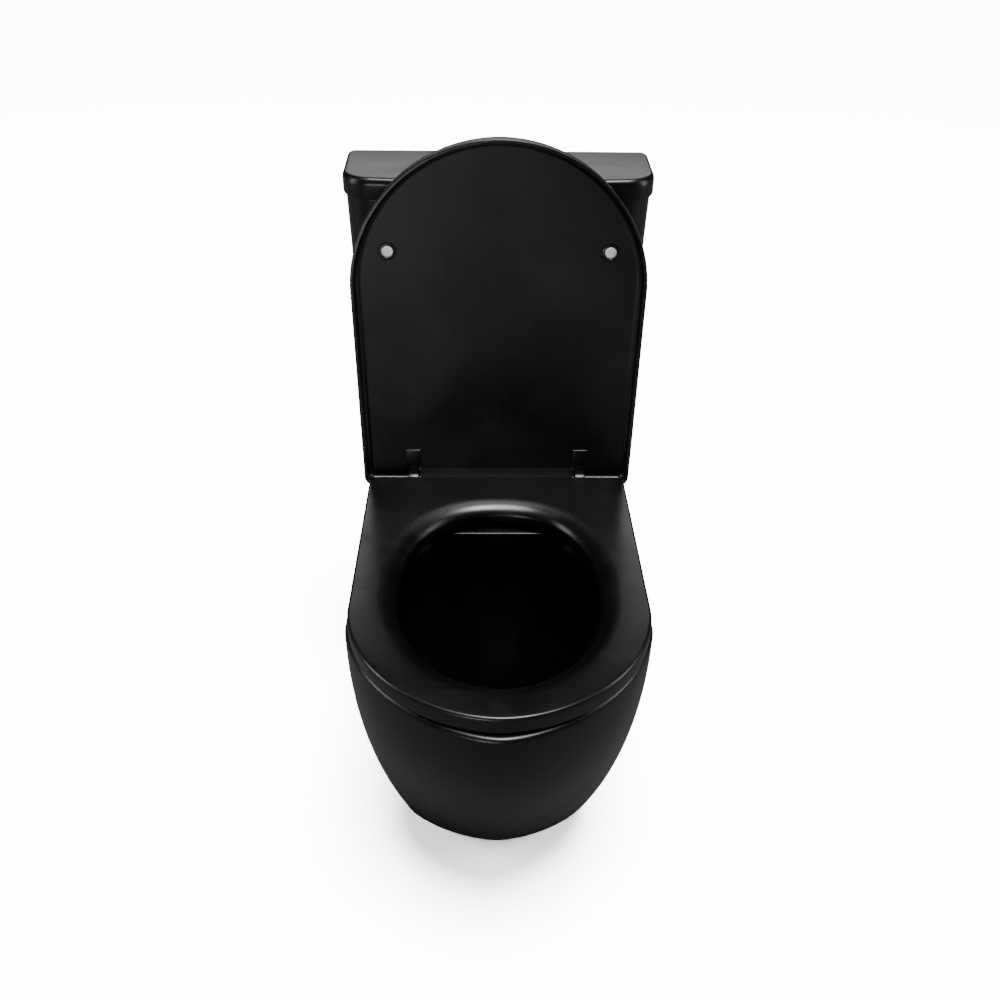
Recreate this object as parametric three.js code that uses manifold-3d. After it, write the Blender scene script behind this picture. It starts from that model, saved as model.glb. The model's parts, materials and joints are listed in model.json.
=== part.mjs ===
// A close-coupled toilet: rimless pan, slim cistern with its flush and fill valves,
// and a slow-close seat whose lid stands open.
// Millimetres. X runs to the right, Y from the front towards the wall, Z up.
// The origin is on the floor, in the middle of the footprint.
import * as THREE from "three";
import { mergeVertices } from "three/addons/utils/BufferGeometryUtils.js";
import Module from "manifold-3d";

const wasm = await Module();
wasm.setup();

// ---- Driving dimensions ----
const projection = 652; // front of the pan to the wall
const touchGap = 0.3; // between pieces that touch
const runningGap = 0.3; // round a pin that a piece turns on
const slideGap = 1; // round a piece that slides

// Pan
const rimHeight = 410;
const panWidth = 356;
const panRearWidth = 344; // at the back of the seat
const panWidest = 176; // from the front to the widest place
const eggPower = 1.71; // roundness of the pan's front, where 2 is an ellipse
const footWidth = 254;
const footRearWidth = 236;
const footSetback = 189; // front of the foot behind the front of the rim
const footWidest = 77; // how far the widest place moves back at the floor
const swellWidth = 1.18; // how the flare goes from foot to rim, sideways
const swellFront = 0.91; // and forwards
const ceramicWall = 12;
const deckThickness = 14;
const deckLength = 476; // pan's front to the back of the seat deck
const deckCorner = 52;
const platformWidth = 224; // the neck that carries the cistern
const platformClear = 8; // to the wall
const rimEdge = 6; // rounding of the rim
const rimBand = 10; // from the rim down to the top of the flare

// Bowl and trap
const rimSide = 46; // width of the rim at the sides
const rimFront = 44; // width of the rim at the front
const bowlLength = 340; // inside the rim, front to back
const waterLevel = 150;
const bowlFloor = 42;
const trapBore = 60;
const outletHeight = 185;
const outletBore = 82;
const outletOuter = 102;
const outletShort = 6; // spigot's end inside the pan's back
const ductWidth = 64;
const ductHeight = 38;
const ductRoof = 22; // ceramic over the duct
const guideWidth = 140; // flush guide in the bowl
const guideHeight = 30;
const guideDepth = 30;

// Cistern
const cisternWidth = 382; // body, at the top
const cisternFootWidth = 362;
const cisternDepth = 112;
const cisternFootDepth = 110;
const cisternWall = 9;
const cisternHeight = 359.7;
const cisternStand = 4; // the coupling gasket holds it this far off the pan
const cisternBase = 10; // thickness of its floor
const frontCorner = 38;
const rearCorner = 12;
const frontBow = 6;
const capHeight = 27; // the lid of the cistern
const capOverhang = 3;
const capForward = 5;
const capRecess = 15;
const capBearing = 14; // width of the lid's rim on the body
const valveBack = 63; // flush valve's axis to the wall
const fillSide = 140; // fill valve's axis to the middle
const boltSide = 80; // coupling bolts' axes to the middle

// Seat
const axisHeight = 17; // hinge axis above the deck
const seatReach = 444; // pan's front to the hinge axis
const openAngle = 95.4;
const ringInset = 4.5; // the seat's edge inside the pan's, at the sides
const ringRearInset = 3.5;
const ringFront = 6.5; // setback from the pan's front
const ringTop = 26; // above the deck
const ringGap = 4; // under the seat, taken by the buffers
const openingInset = 13.5; // the seat's opening inside the bowl's edge, at the sides
const openingFront = 53.5; // land of the seat at the front
const openingLength = 305;
const openingWidest = 148; // from its front to its widest place
const seatPower = 1.9;
const ringSkin = 5;
const lidOverhang = 3; // the lid's edge outside the pan's, at the sides
const lidRearOverhang = 4.5;
const lidDepth = 21; // skirt and panel together
const lidBelow = 4; // skirt below the hinge axis
const lidPanel = 5;
const lidWall = 4.5;
const lidLip = 12; // sloped lip round the recess
const lidPower = 1.97;
const lidTail = 10; // lid behind its axis
const fixingSpacing = 155; // between the seat's fixing holes
const armOutside = 33.5; // the lid's hinge arms outside the seat's fixings
const armWidth = 14;
const barrelRadius = 16.3;
const pinRadius = 3;
const eyeRadius = 8;
const postRadius = 5.6;
const postWidth = 19;
const postSwing = 1.4; // room over a post as the raised seat passes it
const lidBufferHeight = 2.4;

// Buttons
const bezelRadius = 34;
const barrelBore = 22;
const barrelWall = 3;
const buttonStand = 4; // above the lid
const buttonGap = 0.7;
const fullShare = 4; // the full button's edge past the middle

// ---- Derived places ----
const wallY = projection / 2;
const frontY = -projection / 2;
const panRear = wallY - platformClear;
const widestY = frontY + panWidest;
const flareTop = rimHeight - rimBand;
const deckRear = frontY + deckLength;
const neckFront = deckRear - 90; // where the neck starts, inside the pan's body
const bowlWidth = panWidth - 2 * rimSide;
const bowlFrontY = frontY + rimFront;
const bowlRear = bowlFrontY + bowlLength;
const axisBack = frontY + seatReach;
const postX = fixingSpacing / 2;
const armX = postX + armOutside;
const ringWidth = panWidth - 2 * ringInset;
const openingWidth = bowlWidth - 2 * openingInset;
const lidWidth = panWidth + 2 * lidOverhang;
const valveY = wallY - valveBack;
const axisZ = rimHeight + axisHeight;
const cisternFloor = rimHeight + cisternStand;
const cisternTop = cisternFloor + cisternHeight;
const capBottom = cisternTop + touchGap;
const capTop = capBottom + capHeight;
const cisternInside = cisternFloor + cisternBase;
const deckUnder = rimHeight - deckThickness;
const past = 1; // how far a cut runs past the face that it opens

const noseSteps = 18; // facets round an egg-shaped front

// ---- Solids ----
function bare(geometry) {
  const plain = geometry.index ? geometry.toNonIndexed() : geometry.clone();
  for (const name of Object.keys(plain.attributes)) {
    if (name !== "position") plain.deleteAttribute(name);
  }
  return mergeVertices(plain, 1e-4);
}

function triangles(geometry, flip) {
  const kept = [];
  const index = geometry.index.array;
  for (let i = 0; i < index.length; i += 3) {
    const [a, b, c] = [index[i], index[i + 1], index[i + 2]];
    if (a === b || b === c || c === a) continue;
    if (flip) kept.push(a, c, b);
    else kept.push(a, b, c);
  }
  return new Uint32Array(kept);
}

function manifoldOf(geometry) {
  const merged = bare(geometry);
  const vertProperties = new Float32Array(merged.attributes.position.array);
  const make = (flip) =>
    new wasm.Manifold(
      new wasm.Mesh({ numProp: 3, vertProperties, triVerts: triangles(merged, flip) }),
    );
  const solid = make(false);
  return solid.volume() < 0 ? make(true) : solid;
}

function geometryOf(solid) {
  const mesh = solid.getMesh();
  const geometry = new THREE.BufferGeometry();
  geometry.setAttribute("position", new THREE.BufferAttribute(mesh.vertProperties, 3));
  geometry.setIndex(new THREE.BufferAttribute(mesh.triVerts, 1));
  return geometry;
}

function join(...pieces) {
  return geometryOf(pieces.map(manifoldOf).reduce((all, next) => all.add(next)));
}

function cut(base, ...tools) {
  return geometryOf(tools.map(manifoldOf).reduce((left, tool) => left.subtract(tool), manifoldOf(base)));
}

function common(a, b) {
  return geometryOf(manifoldOf(a).intersect(manifoldOf(b)));
}

function block([x0, x1], [y0, y1], [z0, z1]) {
  const box = new THREE.BoxGeometry(x1 - x0, y1 - y0, z1 - z0);
  return box.translate((x0 + x1) / 2, (y0 + y1) / 2, (z0 + z1) / 2);
}

// A round bar along Z from z0 to z1.
function bar(radius, x, y, z0, z1, sides = 16) {
  const rod = new THREE.CylinderGeometry(radius, radius, z1 - z0, sides);
  return rod.rotateX(Math.PI / 2).translate(x, y, (z0 + z1) / 2);
}

// A round bar along X from x0 to x1.
function crossBar(radius, x0, x1, y, z, sides = 16) {
  const rod = new THREE.CylinderGeometry(radius, radius, x1 - x0, sides);
  return rod.rotateZ(Math.PI / 2).translate((x0 + x1) / 2, y, z);
}

// A span along X on one side of the middle: s is 1 for the right, -1 for the left.
function mirrored(s, near, far) {
  return s > 0 ? [near, far] : [-far, -near];
}

// A turned piece: [radius, height] pairs round a closed profile, about a vertical axis.
function turned(profile, x, y, sides = 20) {
  const points = profile.map(([radius, height]) => new THREE.Vector2(radius, height));
  points.push(points[0].clone());
  const shape = new THREE.LatheGeometry(points, sides);
  return shape.rotateX(Math.PI / 2).translate(x, y, 0);
}

function washer(inner, outer, x, y, z0, z1, sides = 16) {
  return turned([[inner, z0], [outer, z0], [outer, z1], [inner, z1]], x, y, sides);
}

// A nut with a round bore: flats is the number of its sides.
function nut(inner, outer, x, y, z0, z1, flats) {
  return cut(bar(outer, x, y, z0, z1, flats), bar(inner, x, y, z0 - 1, z1 + 1, 28));
}

// A bar of round section bent along a curve.
function bentBar(points, radius, steps, sides) {
  const section = new THREE.Shape();
  section.absarc(0, 0, radius, 0, Math.PI * 2);
  const path = new THREE.CatmullRomCurve3(points.map((p) => new THREE.Vector3(...p)));
  const options = { steps, extrudePath: path, curveSegments: sides / 2, bevelEnabled: false };
  return new THREE.ExtrudeGeometry(section, options);
}

function mix(low, high, share) {
  return low + (high - low) * share;
}

function arc(cx, cy, radius, from, to, steps) {
  return Array.from({ length: steps + 1 }, (_, i) => {
    const a = from + ((to - from) * i) / steps;
    return [cx + radius * Math.cos(a), cy + radius * Math.sin(a)];
  });
}

// An outline with an egg-shaped front, sides that draw in slightly, and rounded rear corners.
function eggPlan(plan, inset = 0) {
  const { width, front, widest, power, rearWidth, rear, corner, cornerSteps = 3 } = plan;
  const half = width / 2 - inset;
  const reach = widest - front - inset;
  const nose = Array.from({ length: noseSteps + 1 }, (_, i) => {
    const a = Math.PI + (Math.PI * i) / noseSteps;
    const along = Math.abs(Math.cos(a)) ** (2 / power) * Math.sign(Math.cos(a));
    return [half * along, widest - reach * Math.abs(Math.sin(a)) ** (2 / power)];
  });
  const r = Math.max(corner - inset, 2);
  const side = rearWidth / 2 - inset - r;
  const back = rear - inset - r;
  const right = arc(side, back, r, 0, Math.PI / 2, cornerSteps);
  const left = arc(-side, back, r, Math.PI / 2, Math.PI, cornerSteps);
  return [...nose, ...right, ...left];
}

// An outline with a flat back, a gently bowed front and four rounded corners.
function cisternPlan({ width, depth }, inset = 0) {
  const half = width / 2 - inset;
  const front = wallY - depth + inset;
  const rear = wallY - inset;
  const f = Math.max(frontCorner - inset, 2);
  const r = Math.max(rearCorner - inset, 2);
  const shoulder = front + frontBow;
  const bow = [-0.66, -0.33, 0, 0.33, 0.66].map((share) => [
    share * (half - f),
    front + frontBow * share ** 2,
  ]);
  return [
    ...arc(-half + f, shoulder + f, f, Math.PI, 1.5 * Math.PI, 6),
    ...bow,
    ...arc(half - f, shoulder + f, f, 1.5 * Math.PI, 2 * Math.PI, 6),
    ...arc(half - r, rear - r, r, 0, Math.PI / 2, 3),
    ...arc(-half + r, rear - r, r, Math.PI / 2, Math.PI, 3),
  ];
}

// A closed solid through outlines that all have the same number of points: [z, outline] pairs.
function loft(levels) {
  const count = levels[0][1].length;
  const positions = [];
  const index = [];
  for (const [z, outline] of levels) {
    for (const [x, y] of outline) positions.push(x, y, z);
  }
  for (const [z, outline] of [levels[0], levels.at(-1)]) {
    const xs = outline.map(([x]) => x);
    const ys = outline.map(([, y]) => y);
    const middle = (list) => (Math.min(...list) + Math.max(...list)) / 2;
    positions.push(middle(xs), middle(ys), z);
  }
  const bottom = levels.length * count;
  const last = bottom - count;
  for (let i = 0; i < count; i += 1) {
    const next = (i + 1) % count;
    for (let k = 0; k < levels.length - 1; k += 1) {
      const low = k * count;
      const high = low + count;
      index.push(low + i, low + next, high + next, low + i, high + next, high + i);
    }
    index.push(bottom, next, i, bottom + 1, last + i, last + next);
  }
  const geometry = new THREE.BufferGeometry();
  geometry.setAttribute("position", new THREE.Float32BufferAttribute(positions, 3));
  geometry.setIndex(index);
  return geometry;
}

// ---- Materials ----
function finish(color, roughness, metalness = 0) {
  return new THREE.MeshStandardMaterial({ color, roughness, metalness });
}

const ceramic = finish(0x0b0b0c, 0.38);
const seatPlastic = finish(0x0c0c0d, 0.45);
const bufferRubber = finish(0xe9e9e6, 0.5);
const blackRubber = finish(0x1a1a1a, 0.8);
const whitePlastic = finish(0xe4e5e2, 0.5);
const greyPlastic = finish(0x8d9296, 0.5);
const bluePlastic = finish(0x3a6ea8, 0.5);
const steel = finish(0xa9acae, 0.3, 1);
const blackMetal = finish(0x141415, 0.35, 0.6);

const toilet = new THREE.Group();
const sides = [["left", -1], ["right", 1]];

function place(name, geometry, material, group = toilet) {
  const mesh = new THREE.Mesh(geometry, material);
  mesh.name = name;
  group.add(mesh);
}

// ---- Pan ----
// The sizes of the pan's outline at a height: it flares from the foot to the rim.
function panShape(z) {
  const swell = Math.sin((Math.PI / 2) * Math.min(z / flareTop, 1));
  const wide = swell ** swellWidth;
  const back = 1 - swell ** swellFront;
  return {
    width: mix(footWidth, panWidth, wide),
    front: frontY + footSetback * back,
    widest: widestY + footWidest * back,
    power: eggPower,
    rearWidth: mix(footRearWidth, panRearWidth, wide),
    rear: deckRear,
    corner: deckCorner,
  };
}

function panPlan(z, inset = 0) {
  return eggPlan(panShape(z), inset);
}

// The skirt's outer face from the middle, along its straight sides.
function skirtSide(y, z) {
  const { width, rearWidth, widest, rear, corner } = panShape(z);
  return mix(width, rearWidth, (y - widest) / (rear - corner - widest)) / 2;
}

// The bowl narrows from the rim to the water, and again to its floor. Each level gives its
// height, then shares of the bowl's half width and length: half width, front and rear setback.
const aboveWater = (share) => mix(waterLevel, rimHeight, share);
const bowlLevels = [
  [rimHeight + past, 1, 0, 0],
  [aboveWater(0.65), 0.94, 0.041, 0.018],
  [aboveWater(0.42), 0.8, 0.118, 0.038],
  [aboveWater(0.21), 0.63, 0.247, 0.068],
  [waterLevel, 0.47, 0.412, 0.106],
  [mix(bowlFloor, waterLevel, 0.54), 0.356, 0.535, 0.135],
  [bowlFloor, 0.197, 0.665, 0.182],
];

function bowl(inset) {
  const levels = bowlLevels.map(([z, wide, ahead, behind], i) => {
    const half = (wide * bowlWidth) / 2;
    const front = bowlFrontY + ahead * bowlLength;
    const rear = bowlRear - behind * bowlLength;
    const plan = {
      width: half * 2,
      front,
      widest: front + Math.min(half * 1.2, (rear - front) * 0.55),
      power: 2,
      rearWidth: half * 1.94,
      rear,
      corner: half * 0.8,
    };
    const bottom = i === bowlLevels.length - 1 ? inset : 0;
    const top = i === 0 ? Math.min(inset, 0) : 0;
    return [z + bottom + top, eggPlan(plan, inset)];
  });
  return loft(levels.reverse());
}

// The trap climbs out of the bowl's floor to a crest at the water level, then runs to the outlet.
const trapStart = bowlRear - 96;
const trapEnd = panRear - 86;
const trapLow = bowlFloor + trapBore / 2;
const trapCrest = waterLevel + trapBore / 2;
const trapPath = [
  [0, trapLow],
  [0.185, trapLow - 1],
  [0.356, mix(trapLow, trapCrest, 0.19)],
  [0.496, mix(trapLow, trapCrest, 0.66)],
  [0.637, trapCrest],
  [0.8, outletHeight - 2],
  [1, outletHeight],
].map(([share, z]) => [0, mix(trapStart, trapEnd, share), z]);
const spigotEnd = panRear - outletShort;

// A pipe's solid along Y at the outlet's height.
function outletBar(radius, y0, y1) {
  const rod = new THREE.CylinderGeometry(radius, radius, y1 - y0, 24);
  return rod.translate(0, (y0 + y1) / 2, outletHeight);
}

const ductFloor = rimHeight - ductRoof - ductHeight;
const donutRadius = 44;
const shankRadius = 31;
const donutSeat = rimHeight - 18; // floor of the recess that takes the coupling gasket
const boltHole = 6;
const bossWall = 9; // ceramic round the bowl, trap and duct
const boltTail = 26; // coupling bolt below the deck
const skirtFixing = { y: 0, z: 60, hole: 5, cap: 9, depth: 4 };
const skirtSeat = skirtSide(skirtFixing.y, skirtFixing.z) - 7; // floor of its recess
const bracketPlate = 4;
const bracketFace = skirtSide(skirtFixing.y, 0) - ceramicWall - 7; // clear of the skirt's inner face

function pan() {
  const heights = [0, 0.06, 0.16, 0.29, 0.44, 0.6, 0.76, 0.9, 1].map((share) => share * flareTop);
  const skirt = heights.map((z) => [z, panPlan(z)]);
  const top = [
    [rimHeight - rimEdge * 0.45, panPlan(rimHeight, rimEdge * 0.25)],
    [rimHeight, panPlan(rimHeight, rimEdge)],
  ];
  const halfNeck = platformWidth / 2;
  const neck = block([-halfNeck, halfNeck], [neckFront, panRear], [0, rimHeight]);
  const outside = join(loft([...skirt, ...top]), neck);

  const under = [-past, 0.16 * flareTop, 0.44 * flareTop, 0.76 * flareTop, deckUnder];
  const hollowFront = loft(under.map((z) => [z, panPlan(Math.max(z, 0), ceramicWall)]));
  const inner = halfNeck - ceramicWall;
  const hollowRear = block([-inner, inner], [neckFront, panRear + past], [-past, deckUnder]);
  const duct = block(
    [-ductWidth / 2 - bossWall, ductWidth / 2 + bossWall],
    [bowlRear - 4, panRear],
    [ductFloor - bossWall, rimHeight - 2],
  );
  const donutBoss = bar(donutRadius + bossWall, 0, valveY, donutSeat - 12, rimHeight - 2, 24);
  const kept = join(
    bowl(-bossWall),
    bentBar(trapPath, trapBore / 2 + bossWall, 14, 14),
    outletBar(outletOuter / 2, trapEnd - 36, spigotEnd),
    duct,
    common(donutBoss, block([-halfNeck, halfNeck], [neckFront, panRear], [0, rimHeight])),
  );
  const hollow = cut(join(hollowFront, hollowRear), kept);

  const passages = join(
    bowl(0),
    bentBar(trapPath, trapBore / 2, 14, 14),
    outletBar(outletBore / 2, trapEnd - 20, panRear + past),
  );
  const ductBore = join(
    block(
      [-ductWidth / 2, ductWidth / 2],
      [bowlRear - 20, valveY + shankRadius + slideGap],
      [ductFloor, ductFloor + ductHeight],
    ),
    bar(shankRadius + slideGap, 0, valveY, ductFloor + past, rimHeight + past, 24),
    bar(donutRadius + 0.5, 0, valveY, donutSeat, rimHeight + past, 24),
  );
  const { y, z, hole, cap } = skirtFixing;
  const outsideSkirt = skirtSeat + 25;
  const holes = sides.flatMap(([, s]) => [
    bar(boltHole, s * boltSide, valveY, deckUnder - past, rimHeight + past, 16),
    bar(boltHole + 1, s * postX, axisBack, deckUnder - past, rimHeight + past, 16),
    crossBar(hole, ...mirrored(s, bracketFace, outsideSkirt), y, z, 16),
    crossBar(cap + 0.5, ...mirrored(s, skirtSeat, outsideSkirt), y, z),
  ]);
  place("pan", cut(outside, hollow, passages, ductBore, ...holes), ceramic);
}

// The guide that spreads the flush round the bowl in place of a rim.
function flushGuide() {
  const top = ductFloor + ductHeight + 8;
  const hood = common(
    bowl(slideGap),
    block([-guideWidth / 2, guideWidth / 2], [bowlRear - guideDepth - 6, bowlRear], [top - guideHeight, top]),
  );
  const tail = block(
    [-ductWidth / 2 + 2, ductWidth / 2 - 2],
    [bowlRear - 16, bowlRear + 40],
    [ductFloor + 12, ductFloor + ductHeight - 2],
  );
  const channel = block(
    [-ductWidth / 2 + 5, ductWidth / 2 - 5],
    [bowlRear - guideDepth + 2, bowlRear + 41],
    [ductFloor + 15, ductFloor + ductHeight - 5],
  );
  const slot = block(
    [-guideWidth / 2 + 6, guideWidth / 2 - 6],
    [bowlRear - guideDepth + 2, bowlRear - 16],
    [top - guideHeight - 1, ductFloor + ductHeight - 5],
  );
  place("flush_guide", cut(join(hood, tail), channel, slot), ceramic);
}

// The brackets inside the skirt that hold the pan to the floor, with their screws and caps.
function floorFixings() {
  for (const [side, s] of sides) {
    const { y, z, hole, cap, depth } = skirtFixing;
    const halfStrap = 18;
    const strap = [y - halfStrap, y + halfStrap];
    const foot = block(mirrored(s, bracketFace - 40, bracketFace), strap, [0, bracketPlate]);
    const upright = block(mirrored(s, bracketFace - bracketPlate, bracketFace), strap, [0, z + 14]);
    const screwHole = crossBar(hole, ...mirrored(s, bracketFace - 10, bracketFace + past), y, z, 16);
    const floorHole = bar(4.5, s * (bracketFace - 26), y, -past, bracketPlate + past, 16);
    place(`floor_bracket_${side}`, cut(join(foot, upright), screwHole, floorHole), steel);
    const threadEnds = mirrored(s, bracketFace - 10, skirtSeat + past);
    const headEnds = mirrored(s, skirtSeat + touchGap, skirtSeat + depth);
    const thread = crossBar(hole - slideGap, ...threadEnds, y, z, 16);
    const head = crossBar(cap - slideGap, ...headEnds, y, z, 16);
    place(`skirt_screw_${side}`, join(thread, head), steel);
    const capSeat = skirtSeat + depth + touchGap;
    place(`skirt_cap_${side}`, crossBar(cap, ...mirrored(s, capSeat, capSeat + 4), y, z), ceramic);
  }
}

// ---- Cistern ----
const capPlan = { width: cisternWidth + 2 * capOverhang, depth: cisternDepth + capForward };

function cisternLevel(z) {
  const share = (z - cisternFloor) / cisternHeight;
  return {
    width: mix(cisternFootWidth, cisternWidth, share),
    depth: mix(cisternFootDepth, cisternDepth, share),
  };
}

const fillShank = 10;

function cisternTank() {
  const outer = [
    [cisternFloor, cisternPlan(cisternLevel(cisternFloor), 9)],
    [cisternFloor + 3, cisternPlan(cisternLevel(cisternFloor), 3)],
    ...[cisternInside, cisternTop].map((z) => [z, cisternPlan(cisternLevel(z))]),
  ];
  const inner = [cisternInside, cisternTop + past].map((z) => [
    z,
    cisternPlan(cisternLevel(z), cisternWall),
  ]);
  const drop = [cisternFloor - past, cisternInside + past];
  const holes = [
    bar(shankRadius + slideGap, 0, valveY, ...drop, 24),
    bar(fillShank + slideGap, -fillSide, valveY, ...drop, 20),
    ...sides.map(([, s]) => bar(boltHole, s * boltSide, valveY, ...drop, 16)),
  ];
  place("cistern_tank", cut(loft(outer), loft(inner), ...holes), ceramic);
}

function cisternLid() {
  const levels = [
    [capBottom, 1.5],
    [capBottom + 3, 0],
    [capTop - 9, 0],
    [capTop - 2.5, 2],
    [capTop, 7],
  ];
  const outer = loft(levels.map(([z, inset]) => [z, cisternPlan(capPlan, inset)]));
  const recess = loft(
    [capBottom - 1, capBottom + capRecess].map((z) => [z, cisternPlan(capPlan, capBearing)]),
  );
  const hole = bar(barrelBore + barrelWall + slideGap, 0, valveY, capBottom, capTop + 1, 24);
  place("cistern_lid", cut(outer, recess, hole), ceramic);
}

// Everything that clamps the cistern to the pan and seals it.
function coupling() {
  const low = donutSeat + touchGap;
  const collar = cisternFloor - touchGap;
  const gasket = [
    [shankRadius + 0.8, low],
    [donutRadius, low],
    [donutRadius, collar],
    [donutRadius - 3, collar],
    [donutRadius - 3, low + 9],
    [shankRadius + 0.8, low + 9],
  ];
  place("coupling_gasket", turned(gasket, 0, valveY), blackRubber);
  for (const [side, s] of sides) {
    const x = s * boltSide;
    const washerTop = cisternInside + 3;
    const ring = washer(4.5, 12, x, valveY, cisternInside + touchGap, washerTop);
    place(`coupling_washer_${side}`, ring, blackRubber);
    const head = bar(9, x, valveY, washerTop + touchGap, washerTop + 5, 6);
    const shank = bar(4, x, valveY, deckUnder - boltTail, washerTop + past, 14);
    place(`coupling_bolt_${side}`, join(head, shank), steel);
    const nutTop = deckUnder - touchGap;
    const hub = bar(8, x, valveY, nutTop - 10, nutTop);
    const wings = block([x - 2, x + 2], [valveY - 17, valveY + 17], [nutTop - 16, nutTop - 3]);
    const thread = bar(4.4, x, valveY, nutTop - 20, nutTop + 1, 14);
    place(`coupling_wing_nut_${side}`, cut(join(hub, wings), thread), whitePlastic);
  }
}

// ---- Flush valve ----
const baseSeal = cisternInside + 3;
const seatTop = baseSeal + touchGap + 6; // the face that the valve closes on
const cageRadius = 30;
const cageTop = seatTop + 87;
const towerTop = cisternTop - 134;
const sleeveTop = cisternTop - 84; // guides that the push rods reach down into
const rodSide = 11;

function flushValve() {
  place(
    "flush_valve_seal",
    washer(shankRadius + 0.5, 36, 0, valveY, cisternInside + touchGap, baseSeal, 24),
    blackRubber,
  );
  const nutTop = cisternFloor - touchGap;
  const backnut = nut(shankRadius + 0.8, 40, 0, valveY, nutTop - 10, nutTop, 12);
  place("flush_valve_backnut", backnut, whitePlastic);

  const bore = 25;
  const wall = 3;
  const body = [
    [bore, donutSeat + 4],
    [shankRadius, donutSeat + 4],
    [shankRadius, baseSeal + touchGap],
    [36, baseSeal + touchGap],
    [36, seatTop],
    [bore, seatTop],
  ];
  const cage = [
    [cageRadius, seatTop - 1],
    [cageRadius + wall, seatTop - 1],
    [cageRadius + wall, cageTop],
    [bore + wall, cageTop + 8],
    [bore + wall, towerTop],
    [0, towerTop],
    [0, towerTop - wall],
    [bore, towerTop - wall],
    [bore, cageTop + 6],
    [cageRadius, cageTop - 2],
  ];
  const windows = [0, 1, 2, 3].map((i) => {
    const turn = Math.PI / 4 + (i * Math.PI) / 2;
    const window = block([-14, 14], [20, 40], [seatTop + 8, cageTop - 20]);
    return window.rotateZ(turn).translate(0, valveY, 0);
  });
  const sleeves = sides.map(([, s]) =>
    washer(4.5, 7, s * rodSide, valveY, towerTop - 1, sleeveTop, 16),
  );
  const tower = join(turned(body, 0, valveY), turned(cage, 0, valveY), ...sleeves);
  place("flush_valve_body", cut(tower, ...windows), whitePlastic);

  const disc = seatTop + touchGap;
  place("canister_washer", washer(8, 28.5, 0, valveY, disc, disc + 3), blackRubber);
  const canister = [
    [7, disc - 8],
    [7, disc + 3 + touchGap],
    [26, disc + 3 + touchGap],
    [24, disc + 12],
    [20, disc + 20],
    [20, towerTop - 40],
    [17, towerTop - 40],
    [17, disc + 20],
    [4, disc + 12],
    [4, disc - 8],
  ];
  place("flush_canister", turned(canister, 0, valveY), bluePlastic);
}

// ---- Fill valve ----
const floatBottom = cisternTop - 214;
const inletEnd = cisternFloor - 36; // end of the threaded tail

function fillValve() {
  const x = -fillSide;
  const seat = cisternInside + touchGap;
  const flange = seat + 3;
  place("fill_valve_washer", washer(fillShank + 0.5, 17, x, valveY, seat, flange - touchGap), blackRubber);
  const nutTop = cisternFloor - touchGap;
  place("fill_valve_backnut", nut(fillShank + 0.5, 17, x, valveY, nutTop - 9, nutTop, 6), whitePlastic);
  const bore = 5;
  const riser = 8;
  const headBottom = floatBottom + 100;
  const profile = [
    [bore, inletEnd],
    [fillShank, inletEnd],
    [fillShank, flange],
    [16, flange],
    [16, flange + 5],
    [riser, flange + 9],
    [riser, floatBottom - 5],
    [13, floatBottom - 5],
    [13, floatBottom - touchGap],
    [riser, floatBottom - touchGap],
    [riser, headBottom],
    [18, headBottom + 4],
    [18, headBottom + 32],
    [12, headBottom + 40],
    [0, headBottom + 40],
    [0, headBottom - 10],
    [bore, headBottom - 10],
  ];
  place("fill_valve_body", turned(profile, x, valveY), whitePlastic);
  const inner = riser + slideGap;
  const float = [
    [inner, floatBottom],
    [24, floatBottom],
    [24, floatBottom + 58],
    [21, floatBottom + 58],
    [21, floatBottom + 8],
    [inner + 3, floatBottom + 8],
    [inner + 3, floatBottom + 62],
    [inner, floatBottom + 62],
  ];
  place("fill_valve_float", turned(float, x, valveY), greyPlastic);
}

// ---- Flush buttons ----
const buttonRadius = barrelBore - 0.6;
const buttonTop = capTop + buttonStand;
const buttonBottom = capTop - 4;
const springFloor = capBottom + 1.5;
const rodRadius = 3;
const rodEnd = sleeveTop - 22;
const springRadius = 5.4;
const springWire = 0.8;
const springTurns = 4;
const stepsPerTurn = 9;

function halfDisc(from, to) {
  const disc = bar(buttonRadius, 0, valveY, buttonBottom, buttonTop, 28);
  return common(disc, block([from, to], [valveY - 40, valveY + 40], [buttonBottom - 1, buttonTop + 1]));
}

// A coil spring standing round a push rod.
function spring(x) {
  const low = springFloor + springWire + 2 * touchGap;
  const high = buttonBottom - springWire - 2 * touchGap;
  const steps = springTurns * stepsPerTurn;
  const points = Array.from({ length: steps + 1 }, (_, i) => {
    const a = (i / stepsPerTurn) * Math.PI * 2;
    return [
      x + springRadius * Math.cos(a),
      valveY + springRadius * Math.sin(a),
      low + ((high - low) * i) / steps,
    ];
  });
  return bentBar(points, springWire, steps, 6);
}

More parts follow.
